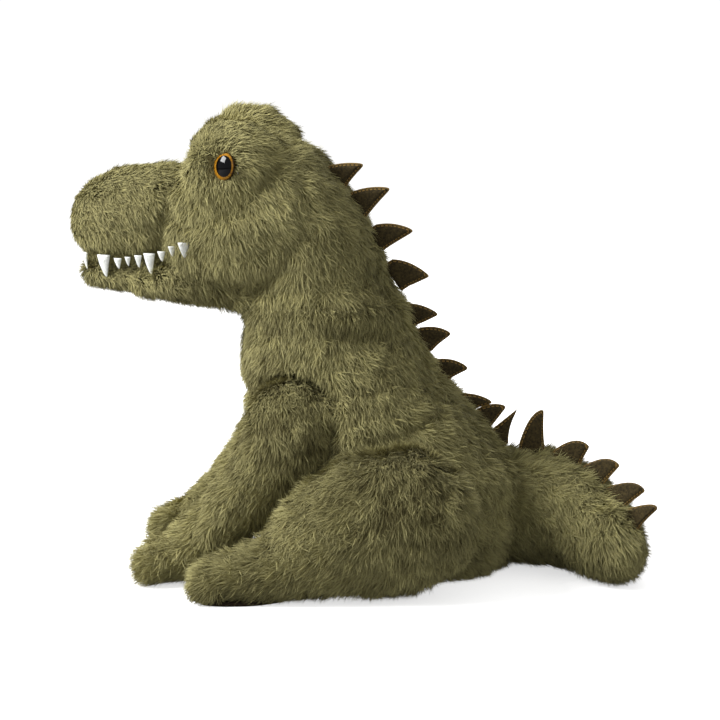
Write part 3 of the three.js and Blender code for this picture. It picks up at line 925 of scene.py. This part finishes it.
        aside = np.cross(normal, lie)
        turn = rng.normal(size=(len(root), 1)) * 0.55
        across = np.cos(turn) * aside + np.sin(turn) * np.cross(first, aside)
        half = self.width * 0.5 * (0.75 + 0.5 * rng.random((len(root), 1)))
        start = root - self.tuck * normal
        middle = root + first * (length * self.bend)[:, None]
        tip = middle + second * (length * (1.04 - self.bend))[:, None]
        corners = np.stack([start, middle - across * half, middle + across * half, tip], axis=1)
        floor = FLOOR_CLEAR * (1.0 + rng.random((len(root), 1)))
        corners[:, :, 2] = np.maximum(corners[:, :, 2], floor)

        tone = 0.54 + 0.15 * lattice_noise(root, 30.0 * MM, self.seed + 31)[:, 0]
        # Random tone per tuft and per blade; near hard creases the tone is darkened as painted shade.
        tone += self.blotch * tuft[:, 2] + 0.13 * rng.normal(size=len(root)) - 0.07 * folded
        # Painted light and painted shade: each light patch makes the tone paler where light falls or darker
        # where shade falls.
        for light_patch in self.tints:
            tone += light_patch.shade(root)
        tone = np.clip(tone, 0.05, 0.95)
        return self.weave(corners, tone, np.clip(0.5 - length / (18.0 * MM), 0.0, 0.34), material)

    def weave(
        self, corners: np.ndarray, tone: np.ndarray, foot: np.ndarray, material: bpy.types.Material
    ) -> list:
        """Makes the blades into meshes of two triangles each, with as many pieces as keep them small.

        Args:
            corners: the four corners of each blade.
            tone: tone of each blade, which is its place along u.
            foot: place along v at the root, higher on short blades, so that they show less of the painted
                root shade; the tip is at the end of v.
            material: finish of the pile.

        Returns:
            The pieces of the coat.
        """
        local = np.array([[0, 1, 2], [2, 1, 3]])
        side = np.array([0.0, 0.02, -0.02, 0.0])
        along = np.array([0.02, 0.48, 0.48, 0.98])
        made = []
        pieces = math.ceil(2 * len(corners) / PIECE_TRIANGLES)
        shares = np.array_split(np.arange(len(corners)), pieces)
        for index, chosen in enumerate(shares):
            count = len(chosen)
            faces = (np.arange(count)[:, None, None] * 4 + local[None, :, :]).reshape(-1, 3)
            risen = foot[chosen][:, None] + (1.0 - foot[chosen][:, None]) * along[None, :]
            uv = np.stack([tone[chosen][:, None] + side[None, :], risen], axis=2).reshape(-1, 2)
            suffix = f"_{index + 1}" if pieces > 1 else ""
            name = f"{self.bag.name.replace('_bag', '')}_pile{suffix}"
            mesh = faces_mesh(name, corners[chosen].reshape(-1, 3), faces, uv)
            piece = new_object(name, mesh, material)
            self.bag.attachment.apply(piece)
            log.info("%s: %d blades", name, count)
            made.append(piece)
        return made


# ---------------------------------------------------------------- trimmings


# Each spike: its body, the upper and lower ends of its base, its tip and how far its edge bulges.
SPIKES = (
    ("head", (3, 0, 258.5), (15, 0, 246), (26, 0, 260), 0.55),
    ("head", (17.5, 0, 242), (30.5, 0, 230), (43, 0, 245), 0.60),
    ("head", (34.5, 0, 222), (43.6, 0, 209), (58, 0, 218.5), 0.66),
    ("head", (45, 0, 200), (56, 0, 183.5), (68.5, 0, 190), 0.70),
    ("neck", (27.5, 0, 170.5), (37.2, 0, 157.5), (49.6, 0, 164), 0.70),
    ("neck", (38.5, 0, 155), (46.4, 0, 140.5), (58, 0, 151), 0.75),
    ("neck", (49, 0, 134.5), (56, 0, 121), (69.2, 0, 128.6), 0.75),
    ("torso", (63, 0, 111.5), (70.5, 0, 102.5), (85, 0, 106.5), 0.70),
    ("torso", (72.5, 0, 99.6), (85.5, 0, 91.5), (94, 0, 103.5), 0.85),
    ("torso", (87.5, 0, 90), (96, 0, 79.5), (101.5, 0, 101.5), 1.0),
    ("tail", (103.5, 0, 79.5), (119.5, -1, 77.5), (118.5, -1, 101), 0.95),
    ("tail", (126, -5, 76), (141, -14, 66.5), (147.5, -10, 79), 1.15),
    ("tail", (141.8, -15, 66), (154.5, -28, 57.5), (165.5, -24, 69.5), 1.15),
    ("tail", (156, -30, 56), (166.5, -44, 46), (180, -38, 56), 1.15),
    ("tail", (164.5, -46, 45), (171, -58, 31), (186, -51, 47), 1.15),
)

# Each tooth of one side, from the nose back: place, width, length and turn about the vertical.
TEETH = (
    (-152, 16, 203, 7, 12, 50),
    (-137, 26, 202.5, 10, 14.7, 20),
    (-127, 29, 200.8, 5.6, 7.0, 8),
    (-120.5, 29.5, 201.8, 4, 6.0, 0),
    (-113.5, 30, 203, 5, 8.2, 0),
    (-106, 30.5, 204.4, 7.8, 14.0, 0),
    (-97.5, 33, 206, 5.2, 6.6, -8),
    (-89.5, 37.8, 209.8, 5.6, 6.6, -25),
    (-80.5, 43, 212.8, 8.4, 9.8, -30),
)


@dataclass
class Spike:
    """A padded fin of suede between two places on the ridge and a tip."""

    number: int
    body: str
    start: np.ndarray
    end: np.ndarray
    tip: np.ndarray
    padding: float = 2.2 * MM
    hem: float = 0.6 * MM
    root: float = 6.0 * MM
    tip_round: float = 2.0 * MM
    bulge: float = 0.78

    def build(self, material: bpy.types.Material) -> bpy.types.Object:
        """Makes the fin.

        Its two edges are quadratic curves from the ends of the base to the tip: the leading one
        bulges and the trailing one is nearly straight. At height s a ring lies between them: the
        angle t gives the width by cos t, and the thickness by the sign of sin t, which rises from
        the flat hem at the edge to the full padding inside.
        """
        base = unit(self.end - self.start)
        rise = self.tip - self.start
        out = unit(rise - base * (rise @ base))
        thick = np.cross(base, out)
        wide, lean, height = np.linalg.norm(self.end - self.start), rise @ base, rise @ out

        buried, sides = np.linspace(-0.3, -0.1, 3), np.linspace(0.0, 0.86, 15)
        s = np.concatenate([buried, sides, 1.0 - 0.14 * np.linspace(1, 0, 9)[1:] ** 2])
        t = np.linspace(0.0, 2.0 * np.pi, 32, endpoint=False)
        up = np.clip(s, 0.0, 1.0)[:, None]
        peak = up**2 * np.array([lean, height])
        leading = 2 * up * (1 - up) * np.array([0.30 * lean, self.bulge * height]) + peak
        trailing = (
            (1 - up) ** 2 * np.array([wide, 0.0])
            + 2 * up * (1 - up) * np.array([wide + 0.6 * (lean - wide), 0.34 * height])
            + peak
        )
        centre, span = (leading + trailing) / 2.0, (trailing - leading) / 2.0
        half = np.linalg.norm(span, axis=1)
        way = span / np.maximum(half, 1e-6)[:, None]
        way[half < 0.4 * MM] = way[half >= 0.4 * MM][-1]
        half = np.sqrt(half**2 + self.tip_round**2 * (1.0 - up[:, 0] ** 8))
        centre = centre + np.array([0.0, 1.0]) * np.minimum(s, 0.0)[:, None] * self.root / 0.3
        flat = centre[:, None, :] + way[:, None, :] * (half[:, None] * np.cos(t))[..., None]
        inward = half[:, None] * (1.0 - np.abs(np.cos(t)))
        inward = np.minimum(inward, (1.0 - up) * height * 0.8 + 0.0 * t)
        swell = smoothstep(0.5 * MM, 3.4 * MM, inward)
        depth = self.hem * smoothstep(0.0, 0.4 * MM, inward) + self.padding * swell
        depth = np.where(np.abs(np.sin(t)) < 1e-6, 0.0, depth * np.sign(np.sin(t)))
        rings = self.start + flat[..., :1] * base + flat[..., 1:] * out + depth[..., None] * thick
        uv = np.stack([inward / MM / 10.0, (s * height / MM / 10.0)[:, None] + 0.0 * t], axis=2)
        rings = np.concatenate([rings[:1].mean(axis=1, keepdims=True) + 0.0 * rings[:1], rings])
        uv = np.concatenate([uv[:1], uv])
        name = f"spike_{self.number:02d}_suede"
        piece = new_object(name, closed_tube(name, rings, uv), material)
        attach(piece, self.body)
        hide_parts(f"spike_{self.number:02d}")
        return piece


@dataclass
class Tooth:
    """A small folded fang that hangs from the lip."""

    side: Side
    number: int
    place: tuple
    width: float
    length: float
    turn: float
    proud: float = 1.5 * MM

    def build(self, material: bpy.types.Material) -> bpy.types.Object:
        """Makes the fang: oval rings that shrink along a curve which hangs down and in at its point.

        The half width falls as (1 - s) to the power 0.75, with a blunt point, and the thickness is
        0.45 of it.
        """
        x, y, top = self.place
        turn = math.radians(self.turn) * self.side.value + HEAD_YAW
        along = np.array([math.cos(turn), math.sin(turn), 0.0])
        outward = self.side.value * np.cross(UP, along)
        root = head_place(x, self.side.value * y, top) + outward * self.proud
        s = np.linspace(0.0, 1.0, 12) ** 0.9
        t = np.linspace(0.0, 2.0 * np.pi, 16, endpoint=False)
        half = 0.5 * self.width * ((1.0 - s) ** 0.75 * 0.92 + 0.08 * np.sqrt(1.0 - s**4))
        line = (
            root
            - UP * (self.length * s)[:, None]
            - outward * (0.12 * self.length * s**2)[:, None]
            + along * (0.06 * self.length * s**2)[:, None]
        )
        rings = (
            line[:, None, :]
            + along * (half[:, None] * np.cos(t))[..., None]
            + outward * (0.45 * half[:, None] * np.sin(t))[..., None]
        )
        cap = np.repeat(line[:1, None, :], len(t), axis=1)
        rings = np.concatenate([cap, rings])
        name = f"tooth_{self.side.word}_{self.number}_satin"
        piece = new_object(name, closed_tube(name, rings), material)
        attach(piece, "head")
        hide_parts(f"tooth_{self.side.word}_{self.number}")
        return piece


@dataclass
class Eye:
    """A safety eye: a polished dome on a flat plate, with its stem behind."""

    side: Side
    radius: float = 9.0 * MM
    dome: float = 5.8 * MM
    stem: float = 13.5 * MM
    forward: float = math.radians(36.0)
    up: float = math.radians(5.0)
    place: tuple = (-52.0, 50.5, 263.5)
    brow_rise: float = 2.5
    pupil_shift: float = 0.34
    pupil_wide: float = 0.62
    pupil_tall: float = 0.75
    pupil_edge: float = 0.73
    sunk: float = 1.2 * MM

    def middle(self) -> np.ndarray:
        """Middle of the back plate before it is sunk."""
        x, y, z = self.place
        return head_place(x, self.side.value * y, z + self.side.value * self.brow_rise)

    def seat(self) -> tuple[np.ndarray, np.ndarray]:
        """Middle of the back plate and the way that the eye looks."""
        s = self.side.value
        local = np.array([
            -math.sin(self.forward) * math.cos(self.up),
            s * math.cos(self.forward) * math.cos(self.up),
            math.sin(self.up),
        ])
        c, k = math.cos(HEAD_YAW), math.sin(HEAD_YAW)
        looks = np.array([local[0] * c - local[1] * k, local[0] * k + local[1] * c, local[2]])
        return self.middle() - self.sunk * looks, looks

    def build(self, material: bpy.types.Material) -> bpy.types.Object:
        """Turns the profile of stem, plate, rim and dome about the way that the eye looks.

        The map holds the angle, and a distance that is 0 in the middle of the pupil, which is shifted
        towards the tail, 0.73 along the pupil's edge and 1 along the eye's rim.
        """
        place, looks = self.seat()
        across = unit(np.cross(UP, looks))
        upward = np.cross(looks, across)
        a = np.linspace(0.0, np.pi / 2.0, 16)
        rim, thin = 1.0 * MM, 2.0 * MM
        radius = np.concatenate([[0.0, thin, thin, self.radius * 0.96, self.radius], self.radius * np.cos(a)])
        back_heights = [-self.stem, -self.stem, 0.0, 0.0, 0.4 * MM]
        height = np.concatenate([back_heights, rim + (self.dome - rim) * np.sin(a)])
        t = np.linspace(0.0, 2.0 * np.pi, 64, endpoint=False)
        wide, tall = radius[:, None] * np.cos(t), radius[:, None] * np.sin(t)
        rings = place + looks * height[:, None, None] + across * wide[..., None] + upward * tall[..., None]
        back = 1.0 if across[0] > 0.0 else -1.0
        moved = wide / self.radius - back * self.pupil_shift
        share = np.hypot(moved / self.pupil_wide, tall / self.radius / self.pupil_tall)
        to_rim = np.maximum(1.0 - np.hypot(wide, tall) / self.radius, 0.0)
        beyond = np.maximum(share - 1.0, 0.0)
        ring = self.pupil_edge + (1.0 - self.pupil_edge) * beyond / (beyond + to_rim + 1e-6)
        out = np.where(share < 1.0, self.pupil_edge * share, ring)
        uv = np.stack([np.broadcast_to(t / (2 * np.pi), out.shape), out], axis=2)
        name = f"eye_{self.side.word}_polished"
        piece = new_object(name, closed_tube(name, rings, uv), material)
        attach(piece, "head")
        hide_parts(f"eye_{self.side.word}")
        return piece


@dataclass
class Sole:
    """A dark suede sole under a hind foot, with three toe lobes."""

    side: Side
    thickness: float = 2.7 * MM

    def build(self, material: bpy.types.Material) -> bpy.types.Object:
        """Makes the plate: its outline is the solid's, as distance by angle from the middle."""
        low, high = (np.array(corner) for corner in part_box(f"sole_{self.side.word}"))
        middle = (low + high) / 2.0
        half = (high - low) / 2.0
        t = np.linspace(0.0, 2.0 * np.pi, 96, endpoint=False)
        front = np.arctan2(np.sin(t), -np.cos(t))
        toes = 1.0 + 0.05 * np.cos(6.0 * front) * smoothstep(0.2, 0.9, -np.cos(t))
        power = 2.0 / 3.0
        x = half[0] * np.sign(np.cos(t)) * np.abs(np.cos(t)) ** power * toes
        heel = 1.0 - 0.34 * smoothstep(-0.2, 0.9, np.cos(t))
        y = half[1] * np.sign(np.sin(t)) * np.abs(np.sin(t)) ** power * heel
        shrink = np.array([0.0, 0.90, 0.94, 0.94, 0.90, 0.0])
        level = np.array([0.0, 0.0, 0.3, 0.7, 1.0, 1.0]) * self.thickness + 0.05 * MM
        rings = np.stack([
            middle[0] + shrink[:, None] * x,
            middle[1] + shrink[:, None] * y,
            level[:, None] + 0.0 * t,
        ], axis=2)
        name = f"sole_{self.side.word}_suede"
        piece = new_object(name, closed_tube(name, rings), material)
        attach(piece, f"hind_leg_{self.side.word}")
        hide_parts(f"sole_{self.side.word}")
        return piece


# ---------------------------------------------------------------- the animal


@dataclass
class Dinosaur:
    """The whole animal: its bags, its coat, its spikes, its face and its soles.

    Each row of cropped is a place on the head in millimetres, the share of the pile's length that is
    left there, and how far the crop reaches, in millimetres.
    """

    bags: dict = field(default_factory=dict)
    eye_seats: list = field(default_factory=list)
    head_inset: float = 2.8 * MM
    cropped: tuple = (
        ((-48, -30, 286), 0.62, 34), ((-80, -28, 272), 0.5, 26), ((-80, 28, 274), 0.6, 26),
        ((5, 0, 258), 0.7, 30), ((-140, 0, 245), 0.62, 55), ((-165, 0, 225), 0.85, 40),
    )

    def head_creases(self) -> list[Crease]:
        """The folds of the head: behind the snout, under each brow and between the brows."""
        def line(side: int, *places: tuple) -> tuple:
            """Places on one side of the head."""
            return line_of(head_place, side, *places)

        valley = line(1, (-62, 0, 284), (-40, 0, 282), (-14, 0, 268), (4, 0, 256))
        folds = [Crease(valley, 2.6 * MM, 8.0 * MM)]
        for side in Side:
            eye = Eye(side).middle()
            folds.append(Crease((tuple(eye), tuple(eye + 0.5 * MM)), -self.head_inset, 13.0 * MM))
        for side in BOTH_SIDES:
            snout_end = line(
                side, (-93, 12, 258), (-94, 23, 254), (-95, 31, 241), (-96, 33, 229), (-98, 32, 217)
            )
            cheek = line(
                side, (-93, 34, 230), (-81, 43, 225.5), (-68, 48, 226), (-52, 50, 228.5), (-36, 50, 234)
            )
            folds += [
                Crease(snout_end, 2.4 * MM, 6.0 * MM),
                Crease(cheek, 2.4 * MM, 6.0 * MM),
                Crease(line(side, (-88, 18, 268), (-88, 34, 262)), 2.6 * MM, 12.0 * MM, soft=True),
                Crease(line(side, (-86, 16, 282), (-86, 38, 276)), 4.0 * MM, 10.0 * MM, soft=True),
            ]
        return folds

    @staticmethod
    def body_creases() -> list[Crease]:
        """The folds of the body above each haunch, and the full chest."""
        folds = []
        for side in BOTH_SIDES:
            haunch = line_of(frame_place, side, (-22, 60, 84), (6, 63, 88), (25, 60, 97), (45, 46, 107))
            chest = line_of(frame_place, side, (-70, 12, 138), (-74, 12, 112))
            folds += [Crease(haunch, 2.2 * MM, 6.0 * MM), Crease(chest, -2.4 * MM, 13.0 * MM)]
        return folds

    @staticmethod
    def leg_creases(side: Side, fore: bool) -> list[Crease]:
        """The folds of one leg: between its toes, and on a foreleg under the shoulder."""
        def line(*places: tuple) -> tuple:
            """Places on the leg's side of the body."""
            return line_of(frame_place, side.value, *places)

        middle, toes = 91, ((-120, 6), (-117, 26), (-98, 38))
        if fore:
            middle, toes = 49, ((-140, 6), (-138, 22), (-122, 34))
        folds = []
        for apart in (-6.5, 6.5):
            folds.append(Crease(line(*((x, middle + apart, z) for x, z in toes)), 5.0 * MM, 5.0 * MM))
        if fore:
            armpit = line((-62, 64, 96), (-43, 67, 92), (-24, 62, 87))
            shin = line((-78, 46, 92), (-104, 46, 60))
            folds.append(Crease(armpit, 1.4 * MM, 7.0 * MM, soft=True))
            folds.append(Crease(shin, 1.2 * MM, 14.0 * MM, soft=True))
        return folds

    @staticmethod
    def slim_shoulder(points: np.ndarray) -> np.ndarray:
        """Draws the outside of a foreleg in towards the body near its top."""
        points = points.copy()
        inside = 34.0 * MM
        far = np.abs(points[:, 1]) - inside
        share = 1.0 - 0.20 * smoothstep(90 * MM, 122 * MM, points[:, 2])
        points[:, 1] = np.where(far > 0.0, np.sign(points[:, 1]) * (inside + far * share), points[:, 1])
        return points

    def sew(self) -> None:
        """Makes the eight bags and swells them together."""
        backing = BackingFinish().material()
        neck = Attachment("torso", "neck", tuple(frame_place(0, 0, 92)), tuple(frame_place(0, 0, 134)))
        chin = line_of(head_place, 1, (-152, -14, 196), (-152, 14, 196))
        torso, necked = ["torso_skin", "torso_filling"], ["neck_skin", "neck_filling"]
        plans = [
            Bag("body_bag", torso + necked, torso + ["seat_pellet_bag"] + necked, neck,
                creases=self.body_creases(),
                ease=lambda places: 1.0 - smoothstep(158 * MM, 170 * MM, places[:, 2])),
            Bag("head_bag", ["head_skin", "head_filling"], ["head_skin", "head_filling"], Attachment("head"),
                fill=0.85, voxel=3.0 * MM, smoothing=2, inset=self.head_inset, creases=self.head_creases(),
                ease=lambda places: smoothstep(174 * MM, 186 * MM, places[:, 2])),
            Bag("jaw_bag", ["jaw_skin", "jaw_filling"], ["jaw_skin", "jaw_filling"], Attachment("head"),
                fill=0.85, voxel=3.0 * MM, smoothing=1, inset=1.2 * MM, swell=1.0 * MM,
                creases=[Crease(chin, -3.0 * MM, 12.0 * MM)]),
            Bag("tail_bag", ["tail_skin", "tail_filling"], ["tail_skin", "tail_filling"], Attachment("tail")),
        ]
        for side in Side:
            for limb in ("foreleg", "hind_leg"):
                name = f"{limb}_{side.word}"
                fore = limb == "foreleg"
                solids = [f"{name}_skin", f"{name}_filling"]
                plans.append(Bag(f"{name}_bag", solids, solids, Attachment(name), voxel=3.5 * MM,
                                 inset=(3.8 if fore else 2.8) * MM, creases=self.leg_creases(side, fore),
                                 shape=self.slim_shoulder if fore else None))
        for bag in plans:
            bag.cut_out(backing)
            self.bags[bag.name] = bag
        let_out = [bag.filled_out(self.surround(bag)) for bag in plans]
        for bag, points in zip(plans, let_out):
            bag.set_places(points)
        self.swell()
        for bag in plans:
            log.info("%s: %d faces", bag.name, len(bag.piece.data.polygons))

    def surround(self, bag: Bag) -> Surround:
        """The skins round one bag."""
        return Surround.of(bag.piece, [other.piece for other in self.bags.values() if other is not bag])

    def swell(self) -> None:
        """Runs the cloth of all the bags over the same twenty frames."""
        scene = bpy.context.scene
        for bag in self.bags.values():
            bag.start_swelling()
        for number in range(1, 21):
            scene.frame_set(number)
        for bag in self.bags.values():
            bag.finish_swelling()
        scene.frame_set(1)

    def head_length(self, places: np.ndarray) -> np.ndarray:
        """Share of the full length: cropped round the eyes, short on the brows and the snout."""
        share = np.ones(len(places))
        for seat, _ in self.eye_seats:
            far = np.linalg.norm(places - seat, axis=1)
            share *= 0.42 + 0.58 * smoothstep(8.0 * MM, 18.0 * MM, far)
            share[far < 6.8 * MM] = 0.0
        for centre, least, reach in self.cropped:
            near = np.linalg.norm(places - head_place(*centre), axis=1)
            share *= least + (1.0 - least) * smoothstep(0.35 * reach * MM, reach * MM, near)
        share *= 1.0 + 0.25 * (1.0 - smoothstep(176 * MM, 192 * MM, places[:, 2]))
        return share

    @staticmethod
    def paw_length(places: np.ndarray) -> np.ndarray:
        """Share of the full length on a leg: up to 40% longer on the toes."""
        return 1.0 + 0.40 * (1.0 - smoothstep(-126 * MM, -96 * MM, places[:, 0]))

    @staticmethod
    def tints() -> list[Tint]:
        """Painted light on the brows, paws, neck and tail, and painted shade on the haunches and shoulders.
        """
        rows = []
        for side in BOTH_SIDES:
            rows += [
                (head_place(-50, side * 30, 292), 32, 0.30),
                (head_place(-120, side * 36, 235), 24, -0.08),
                (frame_place(40, side * 20, 158), 36, 0.24),
                (frame_place(95, side * 45, 40), 30, 0.14),
                (frame_place(-50, side * 62, 104), 34, -0.26),
                (frame_place(-135, side * 49, 15), 34, 0.40),
                (frame_place(30, side * 110, 72), 42, -0.28),
                (frame_place(-110, side * 91, 18), 30, 0.16),
            ]
        rows.append((frame_place(165, -42, 36), 36, 0.28))
        return [Tint(tuple(at), reach * MM, amount) for at, reach, amount in rows]

    def away_from_eyes(self, places: np.ndarray, lie: np.ndarray) -> np.ndarray:
        """Turns the pile near an eye to point away from it."""
        for seat, _ in self.eye_seats:
            out = places - seat
            far = np.linalg.norm(out, axis=1, keepdims=True)
            lie = lie + 0.9 * unit(out) * (1.0 - smoothstep(9.0 * MM, 24.0 * MM, far))
        return lie

    def coats(self) -> list[Coat]:
        """The coats of all the bags, in the order in which they are grown."""
        bags, tints = self.bags, self.tints()
        made = [
            Coat(bags["body_bag"], strokes(frame_place, BODY_STROKES), seed=101),
            Coat(bags["head_bag"], strokes(head_place, HEAD_STROKES), seed=211, length=9.6 * MM, blotch=0.18,
                 tufting=0.8, lift=math.radians(35.0), trim=self.head_length, steer=self.away_from_eyes),
            Coat(bags["jaw_bag"], strokes(head_place, JAW_STROKES), seed=307, length=8.5 * MM),
            Coat(bags["tail_bag"], strokes(frame_place, TAIL_STROKES, (1,)), seed=401, length=10.5 * MM),
        ]
        limbs = (("foreleg", FORELEG_STROKES, 503, 9.5 * MM), ("hind_leg", HIND_LEG_STROKES, 607, 10.5 * MM))
        for side in Side:
            for limb, rows, seed, length in limbs:
                lies = strokes(frame_place, rows, (side.value,))
                made.append(Coat(bags[f"{limb}_{side.word}_bag"], lies, seed=seed + side.value, length=length,
                                 trim=self.paw_length))
        for coat in made:
            coat.tints = tints
        return made

    def grow_pile(self) -> None:
        """Grows the pile of every bag."""
        pile = PileFinish().material()
        for coat in self.coats():
            coat.grow(self.surround(coat.bag), pile)

    def trim_ridge(self) -> None:
        """Sews on the spikes, from the back of the head to the end of the tail."""
        suede = SuedeFinish().material()
        for number, (body, start, end, tip, bulge) in enumerate(SPIKES, start=1):
            make = head_place if body == "head" else frame_place
            Spike(number, body, make(*start), make(*end), make(*tip), bulge=bulge).build(suede)
        log.info("spikes: %d", len(SPIKES))

    def face(self) -> None:
        """Sets the eyes and the teeth."""
        polish = EyeFinish().material()
        for side in Side:
            Eye(side).build(polish)
        satin = ToothFinish().material()
        for side in Side:
            for number, (x, y, top, width, length, turn) in enumerate(TEETH, start=1):
                Tooth(side, number, (x, y, top), width * MM, length * MM, turn).build(satin)
        log.info("teeth: %d", 2 * len(TEETH))

    def dress_washers(self) -> None:
        """Gives the two washers behind the eyes their plastic."""
        plastic = MouldedFinish().material()
        for side in Side:
            washer = frame["nodes"][f"eye_washer_{side.word}"]
            washer.data.materials.clear()
            washer.data.materials.append(plastic)

    def build(self) -> None:
        """Makes the whole animal."""
        self.eye_seats = [Eye(side).seat() for side in Side]
        self.sew()
        self.grow_pile()
        for bag in self.bags.values():
            bag.declare()
        self.trim_ridge()
        self.face()
        self.dress_washers()
        dark, worn = srgb(26, 18, 10), srgb(46, 33, 20)
        leather = SuedeFinish("sole_suede", dark, worn, sheen=0.05, stitched=False).material()
        for side in Side:
            Sole(side).build(leather)


# ---------------------------------------------------------------- studio


@dataclass
class Studio:
    """A pale floor, soft lights and the camera."""

    distance: float = 1.28
    height: float = 0.331
    aim_height: float = 0.134
    metres_across: float = 0.465

    def floor(self) -> None:
        """A wide pale sheet under the animal, with a faint mottle."""
        reach = 6.0
        points = np.array([[-reach, -reach, 0], [reach, -reach, 0], [reach, reach, 0], [-reach, reach, 0]])
        n = Nodes("studio_floor")
        tone = n.ramp(n.noise(3.0), [(0.0, (0.88, 0.88, 0.88)), (1.0, (0.92, 0.92, 0.92))])
        seen = n.node("ShaderNodeLightPath").outputs["Is Camera Ray"]
        n.link(n.mix(seen, (0.34, 0.34, 0.34), tone), n.shader.inputs["Base Color"])
        n.link(n.maths("MULTIPLY", seen, 0.66), n.shader.inputs["Emission Strength"])
        n.plain(Roughness=0.9, Specular_IOR_Level=0.1, Emission_Color=(1.0, 1.0, 1.0, 1.0))
        sheet = faces_mesh("studio_floor", points, np.array([[0, 1, 2, 3]]))
        new_object("studio_floor", sheet, n.material)

    def light(self, name: str, place: tuple, aim: tuple, size: float, power: float) -> None:
        """One square soft light that points at a place."""
        lamp = bpy.data.lights.new(name, "AREA")
        lamp.size = size
        lamp.energy = power
        made = bpy.data.objects.new(name, lamp)
        made.location = place
        direction = Vector(aim) - Vector(place)
        made.rotation_euler = direction.to_track_quat("-Z", "Y").to_euler()
        bpy.context.scene.collection.objects.link(made)

    def sky(self) -> None:
        """An even white surround."""
        world = bpy.data.worlds.new("studio")
        world.use_nodes = True
        background = world.node_tree.nodes["Background"]
        background.inputs["Color"].default_value = (1.0, 1.0, 1.0, 1.0)
        seen = world.node_tree.nodes.new("ShaderNodeLightPath")
        scale = world.node_tree.nodes.new("ShaderNodeMapRange")
        scale.inputs["To Min"].default_value = 0.46
        scale.inputs["To Max"].default_value = 1.05
        world.node_tree.links.new(seen.outputs["Is Camera Ray"], scale.inputs["Value"])
        world.node_tree.links.new(scale.outputs["Result"], background.inputs["Strength"])
        bpy.context.scene.world = world
        bpy.context.scene.view_settings.view_transform = "Standard"

    def camera(self) -> None:
        """A long lens at the animal's left side, a little above it."""
        lens = bpy.data.cameras.new("camera")
        made = bpy.data.objects.new("camera", lens)
        bpy.context.scene.collection.objects.link(made)
        made.location = (0.0005, -self.distance, self.height)
        aim = Vector((0.0005, 0.0, self.aim_height))
        direction = aim - made.location
        made.rotation_euler = direction.to_track_quat("-Z", "Y").to_euler()
        lens.sensor_width = 36.0
        lens.lens = 36.0 * direction.length / self.metres_across
        bpy.context.scene.camera = made

    def build(self) -> None:
        """Sets up the whole studio."""
        self.floor()
        self.sky()
        self.light("key", (-1.55, -0.4, 1.25), (-0.05, 0, 0.16), 0.9, 68.0)
        self.light("fill", (1.3, -1.2, 0.9), (0, 0, 0.12), 1.4, 4.0)
        self.light("back", (0.3, 1.5, 1.4), (0, 0, 0.2), 1.2, 10.0)
        self.camera()


def main() -> None:
    """Builds the animal and the studio."""
    logging.basicConfig(level=logging.INFO, format="%(name)s: %(message)s")
    Studio().build()
    Dinosaur().build()


if __name__ == "__main__":
    main()
